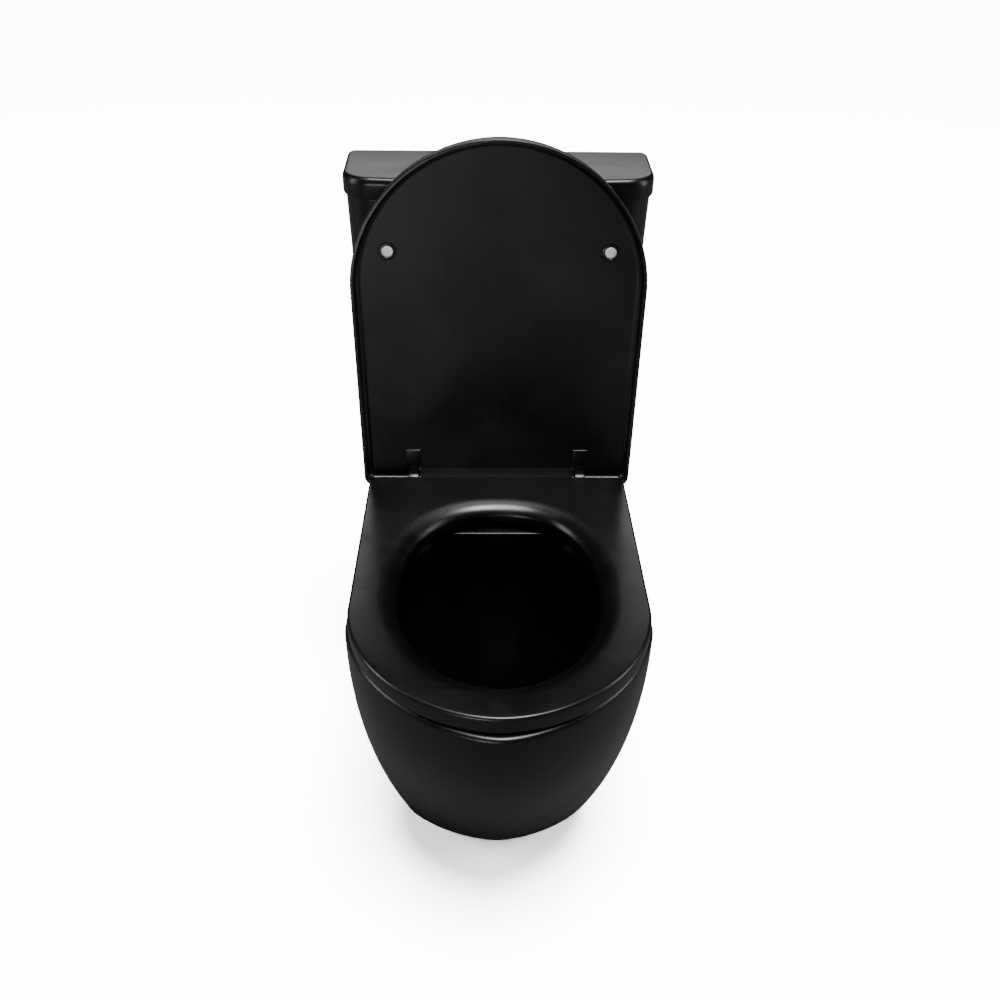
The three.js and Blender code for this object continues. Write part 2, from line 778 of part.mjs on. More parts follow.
function buttons() {
  const outer = barrelBore + barrelWall;
  const bezel = [
    [barrelBore, springFloor],
    [outer, springFloor],
    [outer, capTop + touchGap],
    [bezelRadius, capTop + touchGap],
    [bezelRadius - 1, capTop + 2.5],
    [barrelBore + 1, capTop + 3],
    [barrelBore, capTop + 2],
  ];
  const guides = sides.map(([, s]) =>
    bar(rodRadius + slideGap, s * rodSide, valveY, springFloor - 5, springFloor + 1, 16),
  );
  const foot = bar(outer, 0, valveY, springFloor - 3, springFloor + 0.5, 28);
  place("button_bezel", cut(join(turned(bezel, 0, valveY, 28), foot), ...guides), blackMetal);
  const nutTop = capBottom + capRecess - touchGap;
  place("button_locknut", nut(outer + 0.4, 36, 0, valveY, nutTop - 8, nutTop, 12), whitePlastic);

  const split = fullShare;
  const halves = {
    half: { s: -1, disc: halfDisc(-40, -split - buttonGap / 2) },
    full: { s: 1, disc: halfDisc(-split + buttonGap / 2, 40) },
  };
  for (const [kind, { s, disc }] of Object.entries(halves)) {
    const x = s * rodSide;
    place(`${kind}_flush_button`, disc, blackMetal);
    place(`${kind}_push_rod`, bar(rodRadius, x, valveY, rodEnd, buttonBottom - touchGap, 14), whitePlastic);
    place(`${kind}_button_spring`, spring(x), steel);
  }
}

// ---- Seat ----
const ringPlan = {
  width: ringWidth,
  front: frontY + ringFront,
  widest: widestY,
  power: seatPower,
  rearWidth: panRearWidth - 2 * ringRearInset,
  rear: axisBack + barrelRadius + 4,
  corner: 8,
};
const openingPlan = {
  width: openingWidth,
  front: frontY + ringFront + openingFront,
  widest: frontY + ringFront + openingFront + openingWidest,
  power: 2,
  rearWidth: openingWidth * 0.985,
  rear: frontY + ringFront + openingFront + openingLength,
  corner: openingWidth * 0.44,
  cornerSteps: 6,
};
const ringBase = rimHeight + ringGap;
const ringCrown = rimHeight + ringTop;
const knuckleInner = armX - armWidth / 2 - 3; // where the rear barrel of the seat ends
const ringBuffers = [
  [ringWidth / 2 - 61.5, frontY + 104],
  [ringWidth / 2 - 27.5, axisBack - 98],
];
const bufferRadius = 9;

function seatRing() {
  const outer = [
    [ringBase, 2],
    [ringBase + 2.5, 0],
    [ringCrown - 8, 0],
    [ringCrown - 3, 1.6],
    [ringCrown - 0.8, 4.5],
    [ringCrown, 9],
  ];
  const hole = [
    [ringBase - 1, 0],
    [ringBase + 9, 0],
    [ringCrown - 7, -4],
    [ringCrown - 3, -11],
    [ringCrown + 0.5, -24],
  ];
  const slab = loft(outer.map(([z, inset]) => [z, eggPlan(ringPlan, inset)]));
  const opening = loft(hole.map(([z, inset]) => [z, eggPlan(openingPlan, inset)]));
  const everyHeight = [ringBase - 2 * past, ringCrown + 2 * past];
  const beyond = axisBack + 2 * barrelRadius;
  const corners = sides.map(([, s]) =>
    block(mirrored(s, knuckleInner, ringWidth), [axisBack - 9.5, beyond], everyHeight),
  );
  const behindAxis = block([-ringWidth, ringWidth], [axisBack, beyond], everyHeight);
  const barrel = common(
    crossBar(barrelRadius, -knuckleInner, knuckleInner, axisBack, axisZ, 28),
    block([-ringWidth, ringWidth], [axisBack - 10, beyond], [ringBase, ringCrown]),
  );
  const body = join(cut(slab, opening, behindAxis, ...corners), barrel);

  // The underside is a channel between two walls, with a boss for each buffer.
  const roof = ringCrown - ringSkin - 3;
  const channelOuter = loft([ringBase - 1, roof].map((z) => [z, eggPlan(ringPlan, ringSkin + 1)]));
  const channelInner = loft([ringBase - 2, roof + 1].map((z) => [z, eggPlan(openingPlan, -14)]));
  const hingeLand = block([-ringWidth, ringWidth], [axisBack - 24, beyond], everyHeight);
  const bosses = sides.flatMap(([, s]) =>
    ringBuffers.map(([x, y]) => bar(bufferRadius + 4, s * x, y, ringBase - 2, roof + 1, 16)),
  );
  const channel = cut(channelOuter, channelInner, hingeLand, ...bosses);

  const pockets = sides.flatMap(([, s]) => {
    const half = postWidth / 2 + slideGap;
    const x = [s * postX - half, s * postX + half];
    return [
      block(x, [axisBack - 10.5, axisBack + 24], [axisZ - 24, axisZ]),
      block(x, [axisBack, axisBack + 24], [axisZ - past, axisZ + postRadius + postSwing]),
      crossBar(postRadius + slideGap, x[0], x[1], axisBack, axisZ),
    ];
  });
  const boreStart = postX - postWidth / 2 - 8; // the pins stop short of the barrel's middle
  const bore = crossBar(pinRadius + runningGap, -knuckleInner - 1, knuckleInner + 1, axisBack, axisZ, 16);
  const boreEnds = common(
    bore,
    join(...sides.map(([, s]) => block(mirrored(s, boreStart, armX), [axisBack - 10, beyond], everyHeight))),
  );
  place("seat_ring", cut(body, channel, ...pockets, ...splitBodies(boreEnds)), seatPlastic);
}

// The separate solids of a geometry, each as a geometry of its own.
function splitBodies(geometry) {
  return manifoldOf(geometry).decompose().map(geometryOf);
}

function ringBufferPads() {
  for (const [side, s] of sides) {
    ringBuffers.forEach(([x, y], i) => {
      const where = i === 0 ? "front" : "rear";
      const pad = turned(
        [
          [0, rimHeight + touchGap],
          [bufferRadius - 2, rimHeight + touchGap],
          [bufferRadius, rimHeight + 1.6],
          [bufferRadius, ringBase - touchGap],
          [0, ringBase - touchGap],
        ],
        s * x,
        y,
        20,
      );
      place(`seat_buffer_${where}_${side}`, pad, blackRubber);
    });
  }
}

// Hinge posts on the pan, each with its fixing stud and nut under the deck, and the hinge pins.
function hinges() {
  for (const [side, s] of sides) {
    const x = s * postX;
    const half = postWidth / 2;
    const thick = [axisBack - postRadius, axisBack + postRadius];
    const neck = block([x - half, x + half], thick, [rimHeight + touchGap, axisZ]);
    const head = crossBar(postRadius, x - half, x + half, axisBack, axisZ);
    const eye = crossBar(pinRadius + runningGap, x - half - 1, x + half + 1, axisBack, axisZ, 16);
    const socket = bar(4.3, x, axisBack, rimHeight, rimHeight + 9, 14);
    place(`hinge_post_${side}`, cut(join(neck, head), eye, socket), steel);
    place(`hinge_stud_${side}`, bar(4, x, axisBack, deckUnder - 34, rimHeight + 9 - touchGap, 14), steel);
    const nutTop = deckUnder - touchGap;
    const wing = [
      [4.3, nutTop - 16],
      [8, nutTop - 16],
      [9, nutTop - 6],
      [14, nutTop - 3],
      [14, nutTop],
      [4.3, nutTop],
    ];
    place(`hinge_nut_${side}`, turned(wing, x, axisBack, 20), whitePlastic);
    const inner = postX - half + 1;
    const outerEnd = armX + armWidth / 2;
    const pin = crossBar(pinRadius, ...mirrored(s, inner, outerEnd), axisBack, axisZ, 16);
    place(`hinge_pin_${side}`, pin, steel);
  }
}

// ---- Lid ----
// The lid is drawn closed, about its hinge axis, and then swung open.
const lidFront = frontY - axisBack; // closed front edge, level with the pan's
const lidPlan = {
  width: lidWidth,
  front: lidFront,
  widest: widestY + 3 - axisBack,
  power: lidPower,
  rearWidth: panRearWidth + 2 * lidRearOverhang,
  rear: lidTail,
  corner: 14,
};
const lidTop = lidDepth - lidBelow;
const lidInner = lidTop - lidPanel;
const lidBuffers = { x: lidWidth / 2 - 46, forward: seatReach - 136, radius: 7, seat: 11 };

function lidPanelShell() {
  const outer = [
    [-lidBelow, 1],
    [-lidBelow + 2, 0],
    [lidTop - 7, 0],
    [lidTop - 2.5, 2.2],
    [lidTop, 9],
  ];
  const inner = [
    [-lidBelow - 1, lidWall],
    [lidInner - 7, lidWall + 0.6],
    [lidInner - 2, lidWall + 3],
    [lidInner, lidLip],
  ];
  const shell = loft(outer.map(([z, inset]) => [z, eggPlan(lidPlan, inset)]));
  const recess = loft(inner.map(([z, inset]) => [z, eggPlan(lidPlan, inset)]));
  const notch = block([-knuckleInner, knuckleInner], [-11, 30], [-20, 30]);
  const armSlots = sides.map(([, s]) => {
    const half = armWidth / 2 + 1;
    return block([s * armX - half, s * armX + half], [-9.5, 30], [-20, lidInner]);
  });
  return cut(shell, recess, notch, ...armSlots);
}

function hingeArm(s) {
  const x = s * armX;
  const half = armWidth / 2;
  const under = lidInner - touchGap;
  const eye = crossBar(eyeRadius, x - half, x + half, 0, 0);
  const web = block([x - half, x + half], [-eyeRadius, eyeRadius - 2], [0, under]);
  const plate = block([x - half - 3, x + half + 3], [-44, -12], [lidInner - 2.2, under]);
  const strap = block([x - half, x + half], [-38, 0], [lidInner - 2.2, under]);
  const bore = crossBar(pinRadius + runningGap, x - half - 1, x + half + 1, 0, 0, 16);
  return cut(join(eye, web, plate, strap), bore);
}

function lid() {
  const swung = new THREE.Group();
  swung.position.set(0, axisBack, axisZ);
  swung.rotation.x = -THREE.MathUtils.degToRad(openAngle);
  toilet.add(swung);
  place("seat_lid", lidPanelShell(), seatPlastic, swung);
  for (const [side, s] of sides) {
    place(`lid_hinge_arm_${side}`, hingeArm(s), seatPlastic, swung);
    const pad = turned(
      [
        [0, lidInner - lidBufferHeight],
        [lidBuffers.radius - 1, lidInner - lidBufferHeight],
        [lidBuffers.radius, lidInner - lidBufferHeight + 0.8],
        [lidBuffers.radius, lidInner - 1.2],
        [lidBuffers.seat, lidInner - 1.2],
        [lidBuffers.seat, lidInner - touchGap],
        [0, lidInner - touchGap],
      ],
      s * lidBuffers.x,
      -lidBuffers.forward,
    );
    place(`lid_buffer_${side}`, pad, bufferRubber, swung);
  }
}

pan();
flushGuide();
floorFixings();
cisternTank();
cisternLid();
coupling();
flushValve();
fillValve();
buttons();
seatRing();
ringBufferPads();
hinges();
lid();

export default toilet;
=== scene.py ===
import json
import math

import bmesh
import bpy
from bpy.props import FloatProperty, FloatVectorProperty, PointerProperty
from mathutils import Matrix, Vector


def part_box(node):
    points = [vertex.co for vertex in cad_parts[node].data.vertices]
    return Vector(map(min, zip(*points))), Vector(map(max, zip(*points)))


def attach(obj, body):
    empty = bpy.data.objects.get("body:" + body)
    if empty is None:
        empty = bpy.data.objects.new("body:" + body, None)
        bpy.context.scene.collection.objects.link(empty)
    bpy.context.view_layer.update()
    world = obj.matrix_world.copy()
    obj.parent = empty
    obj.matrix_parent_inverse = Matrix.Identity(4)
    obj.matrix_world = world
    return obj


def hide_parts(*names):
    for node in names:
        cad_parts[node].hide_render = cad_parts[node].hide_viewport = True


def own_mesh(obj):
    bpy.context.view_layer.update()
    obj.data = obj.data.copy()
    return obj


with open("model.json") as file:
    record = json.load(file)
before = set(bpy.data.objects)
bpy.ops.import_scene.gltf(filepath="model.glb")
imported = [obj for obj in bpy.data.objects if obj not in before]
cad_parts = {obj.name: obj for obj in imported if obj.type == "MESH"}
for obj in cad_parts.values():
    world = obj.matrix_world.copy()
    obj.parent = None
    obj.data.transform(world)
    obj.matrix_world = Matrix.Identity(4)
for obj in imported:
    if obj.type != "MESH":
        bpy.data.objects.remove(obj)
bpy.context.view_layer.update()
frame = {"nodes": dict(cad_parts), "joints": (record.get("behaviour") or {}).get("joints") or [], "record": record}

bl_info = {
    "name": "Close Coupled Toilet",
    "version": (1, 0, 0),
    "blender": (4, 5, 0),
    "location": "3D View > Sidebar > Toilet",
    "description": "Glazed pan, slim cistern and slow-close seat, built round the packed frame",
    "category": "Add Mesh",
}

JOINTS = {joint["name"]: joint for joint in frame["joints"]}
HINGE = Vector(JOINTS["lid_hinge"]["pos_m"])
OPEN_ANGLE = -math.radians(JOINTS["lid_hinge"]["range_deg"][0])
PAN_LOW, PAN_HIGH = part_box("pan")
TANK_LOW, TANK_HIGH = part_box("cistern_tank")
CAP_LOW, CAP_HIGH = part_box("cistern_lid")
RING_LOW, RING_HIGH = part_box("seat_ring")
LID_LOW, LID_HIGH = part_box("seat_lid")
BEZEL_LOW, BEZEL_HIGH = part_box("button_bezel")
RIM = PAN_HIGH.z
FRONT = PAN_LOW.y
WALL = TANK_HIGH.y
VALVE_Y = (BEZEL_LOW.y + BEZEL_HIGH.y) / 2
QUARTER = math.pi / 2


# ---- Sizes and colours that a user may change ----
def length(name, default, description):
    return FloatProperty(name=name, description=description, default=default, min=0, unit="LENGTH")


def share(name, default, description):
    return FloatProperty(name=name, description=description, default=default, min=0, max=3)


def angle(name, default, description):
    return FloatProperty(name=name, description=description, default=math.radians(default), subtype="ANGLE")


def colour(name, default, description):
    return FloatVectorProperty(name=name, description=description, default=default, size=4, subtype="COLOR")


class ToiletPanSizes(bpy.types.PropertyGroup):
    foot_width: length("Foot width", 0.254, "Width of the skirt at the floor")
    foot_rear_width: length("Foot rear width", 0.236, "Width of the skirt's back at the floor")
    foot_setback: length("Foot setback", 0.189, "Front of the foot behind the front of the rim")
    rear_width: length("Rear width", 0.344, "Width of the rim at the back of the seat deck")
    widest: length("Widest place", 0.176, "From the front of the rim to its widest place")
    foot_widest: length("Foot widest place", 0.077, "How far the widest place moves back at the floor")
    deck: length("Deck length", 0.476, "From the front to the back of the seat deck")
    deck_corner: length("Deck corner", 0.052, "Radius of the deck's rear corners")
    power: share("Front roundness", 1.71, "Roundness of the front, where 2 is an ellipse")
    swell_width: share("Sideways flare", 1.18, "How quickly the skirt widens upwards")
    swell_front: share("Forward flare", 0.91, "How quickly the skirt comes forward upwards")
    wall: length("Wall", 0.012, "Thickness of the ceramic")
    edge: length("Rim edge", 0.006, "Rounding of the rim's outer edge")
    rim_side: length("Rim side", 0.046, "Width of the rim at the sides")
    rim_front: length("Rim front", 0.044, "Width of the rim at the front")
    bowl: length("Bowl length", 0.340, "Length of the bowl inside the rim")
    bowl_edge: length("Bowl edge", 0.009, "Rounding of the bowl's edge")
    bowl_power: share("Bowl rear", 2.7, "Fullness of the bowl's rear, where 2 is an ellipse")
    ledge: length("Flush ledge", 0.112, "How far the ledges reach to each side of the flush guide")
    neck: length("Neck width", 0.224, "Width of the neck that carries the cistern")
    water: length("Water level", 0.150, "Height of the standing water")
    sump: length("Bowl floor", 0.042, "Height of the bowl's floor")
    trap: length("Trap bore", 0.060, "Bore of the trap")
    outlet: length("Outlet height", 0.185, "Height of the outlet's centre")
    outlet_bore: length("Outlet bore", 0.082, "Bore of the outlet spigot")
    outlet_outer: length("Outlet outside", 0.102, "Outside of the outlet spigot")


class ToiletCisternSizes(bpy.types.PropertyGroup):
    foot_width: length("Foot width", 0.362, "Width of the tank at its foot")
    foot_depth: length("Foot depth", 0.110, "Depth of the tank at its foot")
    wall: length("Wall", 0.009, "Thickness of the ceramic")
    floor: length("Floor", 0.010, "Thickness of the tank's floor")
    corner: length("Front corner", 0.038, "Radius of the front corners")
    rear_corner: length("Rear corner", 0.012, "Radius of the rear corners")
    bow: length("Front bow", 0.006, "How far the front bows forward")
    cap_edge: length("Lid edge", 0.009, "Rounding of the cistern lid's top edge")
    recess: length("Lid recess", 0.015, "Depth of the cistern lid's underside")


class ToiletSeatSizes(bpy.types.PropertyGroup):
    rear_width: length("Rear width", 0.337, "Width of the seat at its back")
    power: share("Seat roundness", 1.9, "Roundness of the seat's front, where 2 is an ellipse")
    opening: length("Opening width", 0.237, "Width of the seat's opening")
    opening_front: length("Front land", 0.0535, "Width of the seat at its front")
    opening_length: length("Opening length", 0.305, "Length of the seat's opening")
    opening_widest: length("Opening widest place", 0.148, "From the opening's front to its widest place")
    opening_power: share("Opening rear", 2.35, "Fullness of the opening's rear, where 2 is an ellipse")
    dish: length("Dish", 0.024, "Width of the slope into the opening")
    lid_rear_width: length("Lid rear width", 0.353, "Width of the lid at its back")
    lid_power: share("Lid roundness", 1.97, "Roundness of the lid's front, where 2 is an ellipse")
    lid_lip: length("Lid lip", 0.012, "Width of the sloped lip round the lid's recess")
    lid_panel: length("Lid panel", 0.005, "Thickness of the lid's panel")
    lid_below: length("Lid skirt", 0.004, "Lid's edge below the hinge axis")


class ToiletFinishes(bpy.types.PropertyGroup):
    ceramic: colour("Ceramic", (0.0012, 0.0012, 0.0012, 1), "Satin black glaze")
    plastic: colour("Seat plastic", (0.001, 0.001, 0.001, 1), "Satin black moulded seat")
    silicone: colour("Lid buffers", (0.95, 0.95, 0.94, 1), "Soft pale silicone")
    rubber: colour("Rubber", (0.006, 0.006, 0.006, 1), "Black rubber")
    white: colour("White fittings", (0.76, 0.77, 0.74, 1), "Moulded white fittings")
    grey: colour("Grey fittings", (0.26, 0.28, 0.3, 1), "Moulded grey float")
    blue: colour("Blue fittings", (0.04, 0.15, 0.36, 1), "Moulded blue flush canister")
    steel: colour("Steel", (0.56, 0.57, 0.58, 1), "Brushed stainless steel")
    button: colour("Buttons", (0.004, 0.004, 0.004, 1), "Satin black buttons")


class ToiletStudio(bpy.types.PropertyGroup):
    floor: colour("Floor", (0.92, 0.92, 0.92, 1), "Plain pale floor")
    sky: share("Surround light", 0.02, "Strength of the pale surround")
    key: FloatProperty(name="Key light", description="Soft light from above", default=5, min=0)
    back: FloatProperty(name="Back light", description="Panel behind the cistern", default=25, min=0)
    side: FloatProperty(name="Side lights", description="Strips at both sides", default=20, min=0)
    front: FloatProperty(name="Front light", description="Weak light, low on the left", default=16, min=0)
    paper: FloatProperty(name="Paper gain", description="How much brighter the floor looks", default=9, min=0)
    lens: FloatProperty(name="Lens", description="Focal length", default=39.47, min=10)
    across: FloatProperty(name="Camera across", description="To the right", default=-0.024, unit="LENGTH")
    ahead: FloatProperty(name="Camera ahead", description="Camera in front", default=1.0855, unit="LENGTH")
    height: FloatProperty(name="Camera height", description="Over the floor", default=1.2733, unit="LENGTH")
    pitch: angle("Camera pitch", 36.23, "How far the camera looks down")
    yaw: angle("Camera yaw", 1.375, "How far the camera looks to the right")
    roll: angle("Camera roll", 0.922, "How far the camera leans")


# ---- Outlines ----
def mix(low, high, part):
    return low + (high - low) * part


def arc(x, y, radius, start, end, steps):
    turns = [mix(start, end, i / steps) for i in range(steps + 1)]
    return [(x + radius * math.cos(a), y + radius * math.sin(a)) for a in turns]


def egg(width, front, widest, power, rear_width, rear, corner, inset=0.0, nose=72, bend=10):
    """An outline with an egg-shaped front, sides that draw in slightly, and rounded rear corners."""
    half = width / 2 - inset
    reach = widest - front - inset
    points = []
    for i in range(nose + 1):
        a = math.pi * (1 + i / nose)
        along = math.copysign(abs(math.cos(a)) ** (2 / power), math.cos(a))
        points.append((half * along, widest - reach * abs(math.sin(a)) ** (2 / power)))
    radius = max(corner - inset, 0.002)
    side = rear_width / 2 - inset - radius
    back = rear - inset - radius
    right = arc(side, back, radius, 0, QUARTER, bend)
    return points + right + arc(-side, back, radius, QUARTER, math.pi, bend)


def round_outline(width, front, widest, rear, power, inset=0.0, steps=60):
    """A smooth closed outline: an ellipse in front of its widest place and a fuller curve behind it."""
    half = width / 2 - inset
    points = []
    for reach, shape, start in ((front - widest + inset, 2, math.pi), (rear - widest - inset, power, 0)):
        for i in range(steps):
            a = start + math.pi * i / steps
            x = math.copysign(abs(math.cos(a)) ** (2 / shape), math.cos(a))
            points.append((half * x, widest + reach * abs(math.sin(a)) ** (2 / shape)))
    return points


def tank_outline(sizes, width, depth, inset=0.0, bend=12, along=24):
    """An outline with a flat back, a gently bowed front and four rounded corners."""
    half = width / 2 - inset
    rear = WALL - inset
    shoulder = WALL - depth + inset + sizes.bow
    wide = max(sizes.corner - inset, 0.002)
    tight = max(sizes.rear_corner - inset, 0.002)
    shares = [2 * (i + 1) / (along + 1) - 1 for i in range(along)]
    bow = [(part * (half - wide), shoulder - sizes.bow * (1 - part**2)) for part in shares]
    return [
        *arc(-half + wide, shoulder + wide, wide, math.pi, 3 * QUARTER, bend),
        *bow,
        *arc(half - wide, shoulder + wide, wide, 3 * QUARTER, 4 * QUARTER, bend),
        *arc(half - tight, rear - tight, tight, 0, QUARTER, bend),
        *arc(-half + tight, rear - tight, tight, QUARTER, math.pi, bend),
    ]


def rounding(height, inset, drop, width, steps=8, upwards=True):
    """Heights and insets of a rounded edge that ends at a height, drop deep and width wide."""
    rows = []
    for i in range(steps + 1):
        a = QUARTER * i / steps
        rows.append((height - drop * (1 - math.sin(a)), inset + width * (1 - math.cos(a))))
    if upwards:
        return rows
    return [(2 * height - z, i) for z, i in reversed(rows)]


# ---- Mesh work ----
def finished(name, bm, smooth=32):
    """A mesh object at the origin with its faces pointing out."""
    bmesh.ops.recalc_face_normals(bm, faces=bm.faces)
    mesh = bpy.data.meshes.new(name)
    bm.to_mesh(mesh)
    bm.free()
    mesh.shade_smooth()
    mesh.set_sharp_from_angle(angle=math.radians(smooth))
    piece = bpy.data.objects.new(name, mesh)
    bpy.context.scene.collection.objects.link(piece)
    return piece


def skin(name, rings, closed=False):
    """A closed solid through rings of points: each ring is extruded from the last."""
    bm = bmesh.new()
    order = bm.verts.layers.int.new("order")
    first = [bm.verts.new(point) for point in rings[0]]
    for i, vert in enumerate(first):
        vert[order] = i
    edges = [bm.edges.new((first[i - 1], first[i])) for i in range(len(first))]
    if not closed:
        bm.faces.new(first)
    for ring in rings[1:]:
        grown = bmesh.ops.extrude_edge_only(bm, edges=edges)["geom"]
        fresh = {item for item in grown if isinstance(item, bmesh.types.BMVert)}
        edges = [e for e in grown if isinstance(e, bmesh.types.BMEdge) and set(e.verts) <= fresh]
        for vert in fresh:
            vert.co = ring[vert[order]]
        last = fresh
    if closed:
        bmesh.ops.remove_doubles(bm, verts=bm.verts, dist=1e-6)
    else:
        bm.faces.new(sorted(last, key=lambda vert: vert[order]))
    return finished(name, bm)


def loft(name, rows, outline):
    """A solid through level outlines: rows of heights and insets, and outline(height, inset)."""
    return skin(name, [[(x, y, z) for x, y in outline(z, inset)] for z, inset in rows])


def slab(name, x, y, z, edge=0.0, segments=4):
    """A block between three spans, with its edges rounded."""
    bm = bmesh.new()
    bmesh.ops.create_cube(bm, size=1)
    size = (x[1] - x[0], y[1] - y[0], z[1] - z[0])
    middle = ((x[0] + x[1]) / 2, (y[0] + y[1]) / 2, (z[0] + z[1]) / 2)
    bmesh.ops.scale(bm, vec=size, verts=bm.verts)
    bmesh.ops.translate(bm, vec=middle, verts=bm.verts)
    if edge:
        bmesh.ops.bevel(
            bm, geom=bm.edges[:], offset=edge, segments=segments,
            affect="EDGES", profile=0.5, material=-1,
        )
    return finished(name, bm)


AXES = {"X": (0, 1, 0), "Y": (1, 0, 0), "Z": None}


def rod(name, radius, centre, span, axis="Z", edge=0.0, sides=64):
    """A round bar along an axis, with its ends' edges rounded. Centre gives the two other coordinates."""
    bm = bmesh.new()
    depth = span[1] - span[0]
    bmesh.ops.create_cone(
        bm, cap_ends=True, segments=sides, radius1=radius, radius2=radius, depth=depth,
    )
    if edge:
        ends = [e for e in bm.edges if abs(e.verts[0].co.z - e.verts[1].co.z) < 1e-7]
        bmesh.ops.bevel(
            bm, geom=ends, offset=edge, segments=3, affect="EDGES", profile=0.5, material=-1,
        )
    middle = (span[0] + span[1]) / 2
    if AXES[axis]:
        bmesh.ops.rotate(bm, cent=(0, 0, 0), matrix=Matrix.Rotation(QUARTER, 3, AXES[axis]), verts=bm.verts)
    place = {
        "X": (middle, centre[0], centre[1]),
        "Y": (centre[0], middle, centre[1]),
        "Z": (centre[0], centre[1], middle),
    }[axis]
    bmesh.ops.translate(bm, vec=place, verts=bm.verts)
    return finished(name, bm)


def turned(name, profile, centre, sides=72, axis="Z"):
    """A piece turned about an axis from [radius, height] points round its closed section."""
    bm = bmesh.new()
    verts = [bm.verts.new((radius, 0, height)) for radius, height in profile]
    edges = [bm.edges.new((verts[i - 1], verts[i])) for i in range(len(verts))]
    bmesh.ops.spin(
        bm, geom=verts + edges, cent=(0, 0, 0), axis=(0, 0, 1),
        angle=2 * math.pi, steps=sides, use_merge=True,
    )
    bmesh.ops.remove_doubles(bm, verts=bm.verts, dist=1e-6)
    bmesh.ops.dissolve_degenerate(bm, edges=bm.edges, dist=1e-6)
    if AXES[axis]:
        bmesh.ops.rotate(bm, cent=(0, 0, 0), matrix=Matrix.Rotation(QUARTER, 3, AXES[axis]), verts=bm.verts)
    bmesh.ops.translate(bm, vec=centre, verts=bm.verts)
    return finished(name, bm)


def pipe(name, path, radius, sides=40):
    """A solid round bar along a path of points."""
    points = [Vector(point) for point in path]
    rings = []
    for i, point in enumerate(points):
        ahead = (points[min(i + 1, len(points) - 1)] - points[max(i - 1, 0)]).normalized()
        across = Vector((1, 0, 0))
        if abs(ahead.x) > 0.9:
            across = Vector((0, 1, 0))
        up = ahead.cross(across).normalized()
        across = up.cross(ahead)
        turns = [2 * math.pi * k / sides for k in range(sides)]
        rings.append([point + radius * (across * math.cos(a) + up * math.sin(a)) for a in turns])
    return skin(name, rings)


def smooth_rows(rows, steps):
    """Rows of numbers with smooth rows between them, through every given row."""
    found = []
    for i in range(len(rows) - 1):
        before, a, b, after = (rows[min(max(k, 0), len(rows) - 1)] for k in (i - 1, i, i + 1, i + 2))
        for step in range(steps):
            t = step / steps
            found.append([
                0.5 * (2 * q + (r - p) * t + (2 * p - 5 * q + 4 * r - s) * t**2
                       + (3 * q - p - 3 * r + s) * t**3)
                for p, q, r, s in zip(before, a, b, after)
            ])
    return found + [list(rows[-1])]


def combine(piece, tools, operation):
    """Joins tools to a piece, or cuts them out of it, and removes them."""
    for tool in tools:
        change = piece.modifiers.new(operation, "BOOLEAN")
        change.object = tool
        change.operation = operation
        change.solver = "MANIFOLD"
    graph = bpy.context.evaluated_depsgraph_get()
    mesh = bpy.data.meshes.new_from_object(piece.evaluated_get(graph))
    if not mesh.polygons:
        raise RuntimeError(f"{piece.name}: nothing is left after {operation}")
    piece.modifiers.clear()
    piece.data = mesh
    for tool in tools:
        bpy.data.objects.remove(tool)
    mesh.shade_smooth()
    mesh.set_sharp_from_angle(angle=math.radians(32))
    return piece


def join(piece, *tools):
    return combine(piece, tools, "UNION")


def cut(piece, *tools):
    return combine(piece, tools, "DIFFERENCE")


def crop(piece, tool):
    return combine(piece, [tool], "INTERSECT")


def swing_open(piece):
    """Turns a piece that was drawn closed, about the hinge axis, to where the lid stands open."""
    turn = Matrix.Translation(HINGE) @ Matrix.Rotation(-OPEN_ANGLE, 4, "X")
    piece.data.transform(turn)
    return piece


def settle(piece, body, slot, material, *nodes):
    """A finished piece takes its body and material, and stands for CAD nodes. Its slot is not used."""
    piece.data.materials.clear()
    piece.data.materials.append(material)
    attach(piece, body)
    if nodes:
        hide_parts(*nodes)


# ---- Materials ----
def group_socket(group, name, kind, value=None, direction="INPUT"):
    socket = group.interface.new_socket(name=name, in_out=direction, socket_type=kind)
    if value is not None:
        socket.default_value = value


def fine_grain():
    """Slow drifts and fine grain over a surface: a drift mask, a grain mask and their height."""
    group = bpy.data.node_groups.get("Fine Grain")
    if group:
        return group
    group = bpy.data.node_groups.new("Fine Grain", "ShaderNodeTree")
    group_socket(group, "Drift Scale", "NodeSocketFloat", 9.0)
    group_socket(group, "Grain Scale", "NodeSocketFloat", 900.0)
    group_socket(group, "Drift", "NodeSocketFloat", direction="OUTPUT")
    group_socket(group, "Grain", "NodeSocketFloat", direction="OUTPUT")
    group_socket(group, "Height", "NodeSocketFloat", direction="OUTPUT")
    nodes, links = group.nodes, group.links
    entry = nodes.new("NodeGroupInput")
    leave = nodes.new("NodeGroupOutput")
    place = nodes.new("ShaderNodeTexCoord")
    drift = nodes.new("ShaderNodeTexNoise")
    drift.inputs["Detail"].default_value = 4
    drift.inputs["Roughness"].default_value = 0.55
    grain = nodes.new("ShaderNodeTexNoise")
    grain.inputs["Detail"].default_value = 3
    links.new(place.outputs["Object"], drift.inputs["Vector"])
    links.new(place.outputs["Object"], grain.inputs["Vector"])
    links.new(entry.outputs["Drift Scale"], drift.inputs["Scale"])
    links.new(entry.outputs["Grain Scale"], grain.inputs["Scale"])
    total = nodes.new("ShaderNodeMath")
    total.operation = "MULTIPLY_ADD"
    total.inputs[1].default_value = 0.25
    links.new(drift.outputs["Fac"], total.inputs[0])
    links.new(grain.outputs["Fac"], total.inputs[2])
    links.new(drift.outputs["Fac"], leave.inputs["Drift"])
    links.new(grain.outputs["Fac"], leave.inputs["Grain"])
    links.new(total.outputs["Value"], leave.inputs["Height"])
    return group


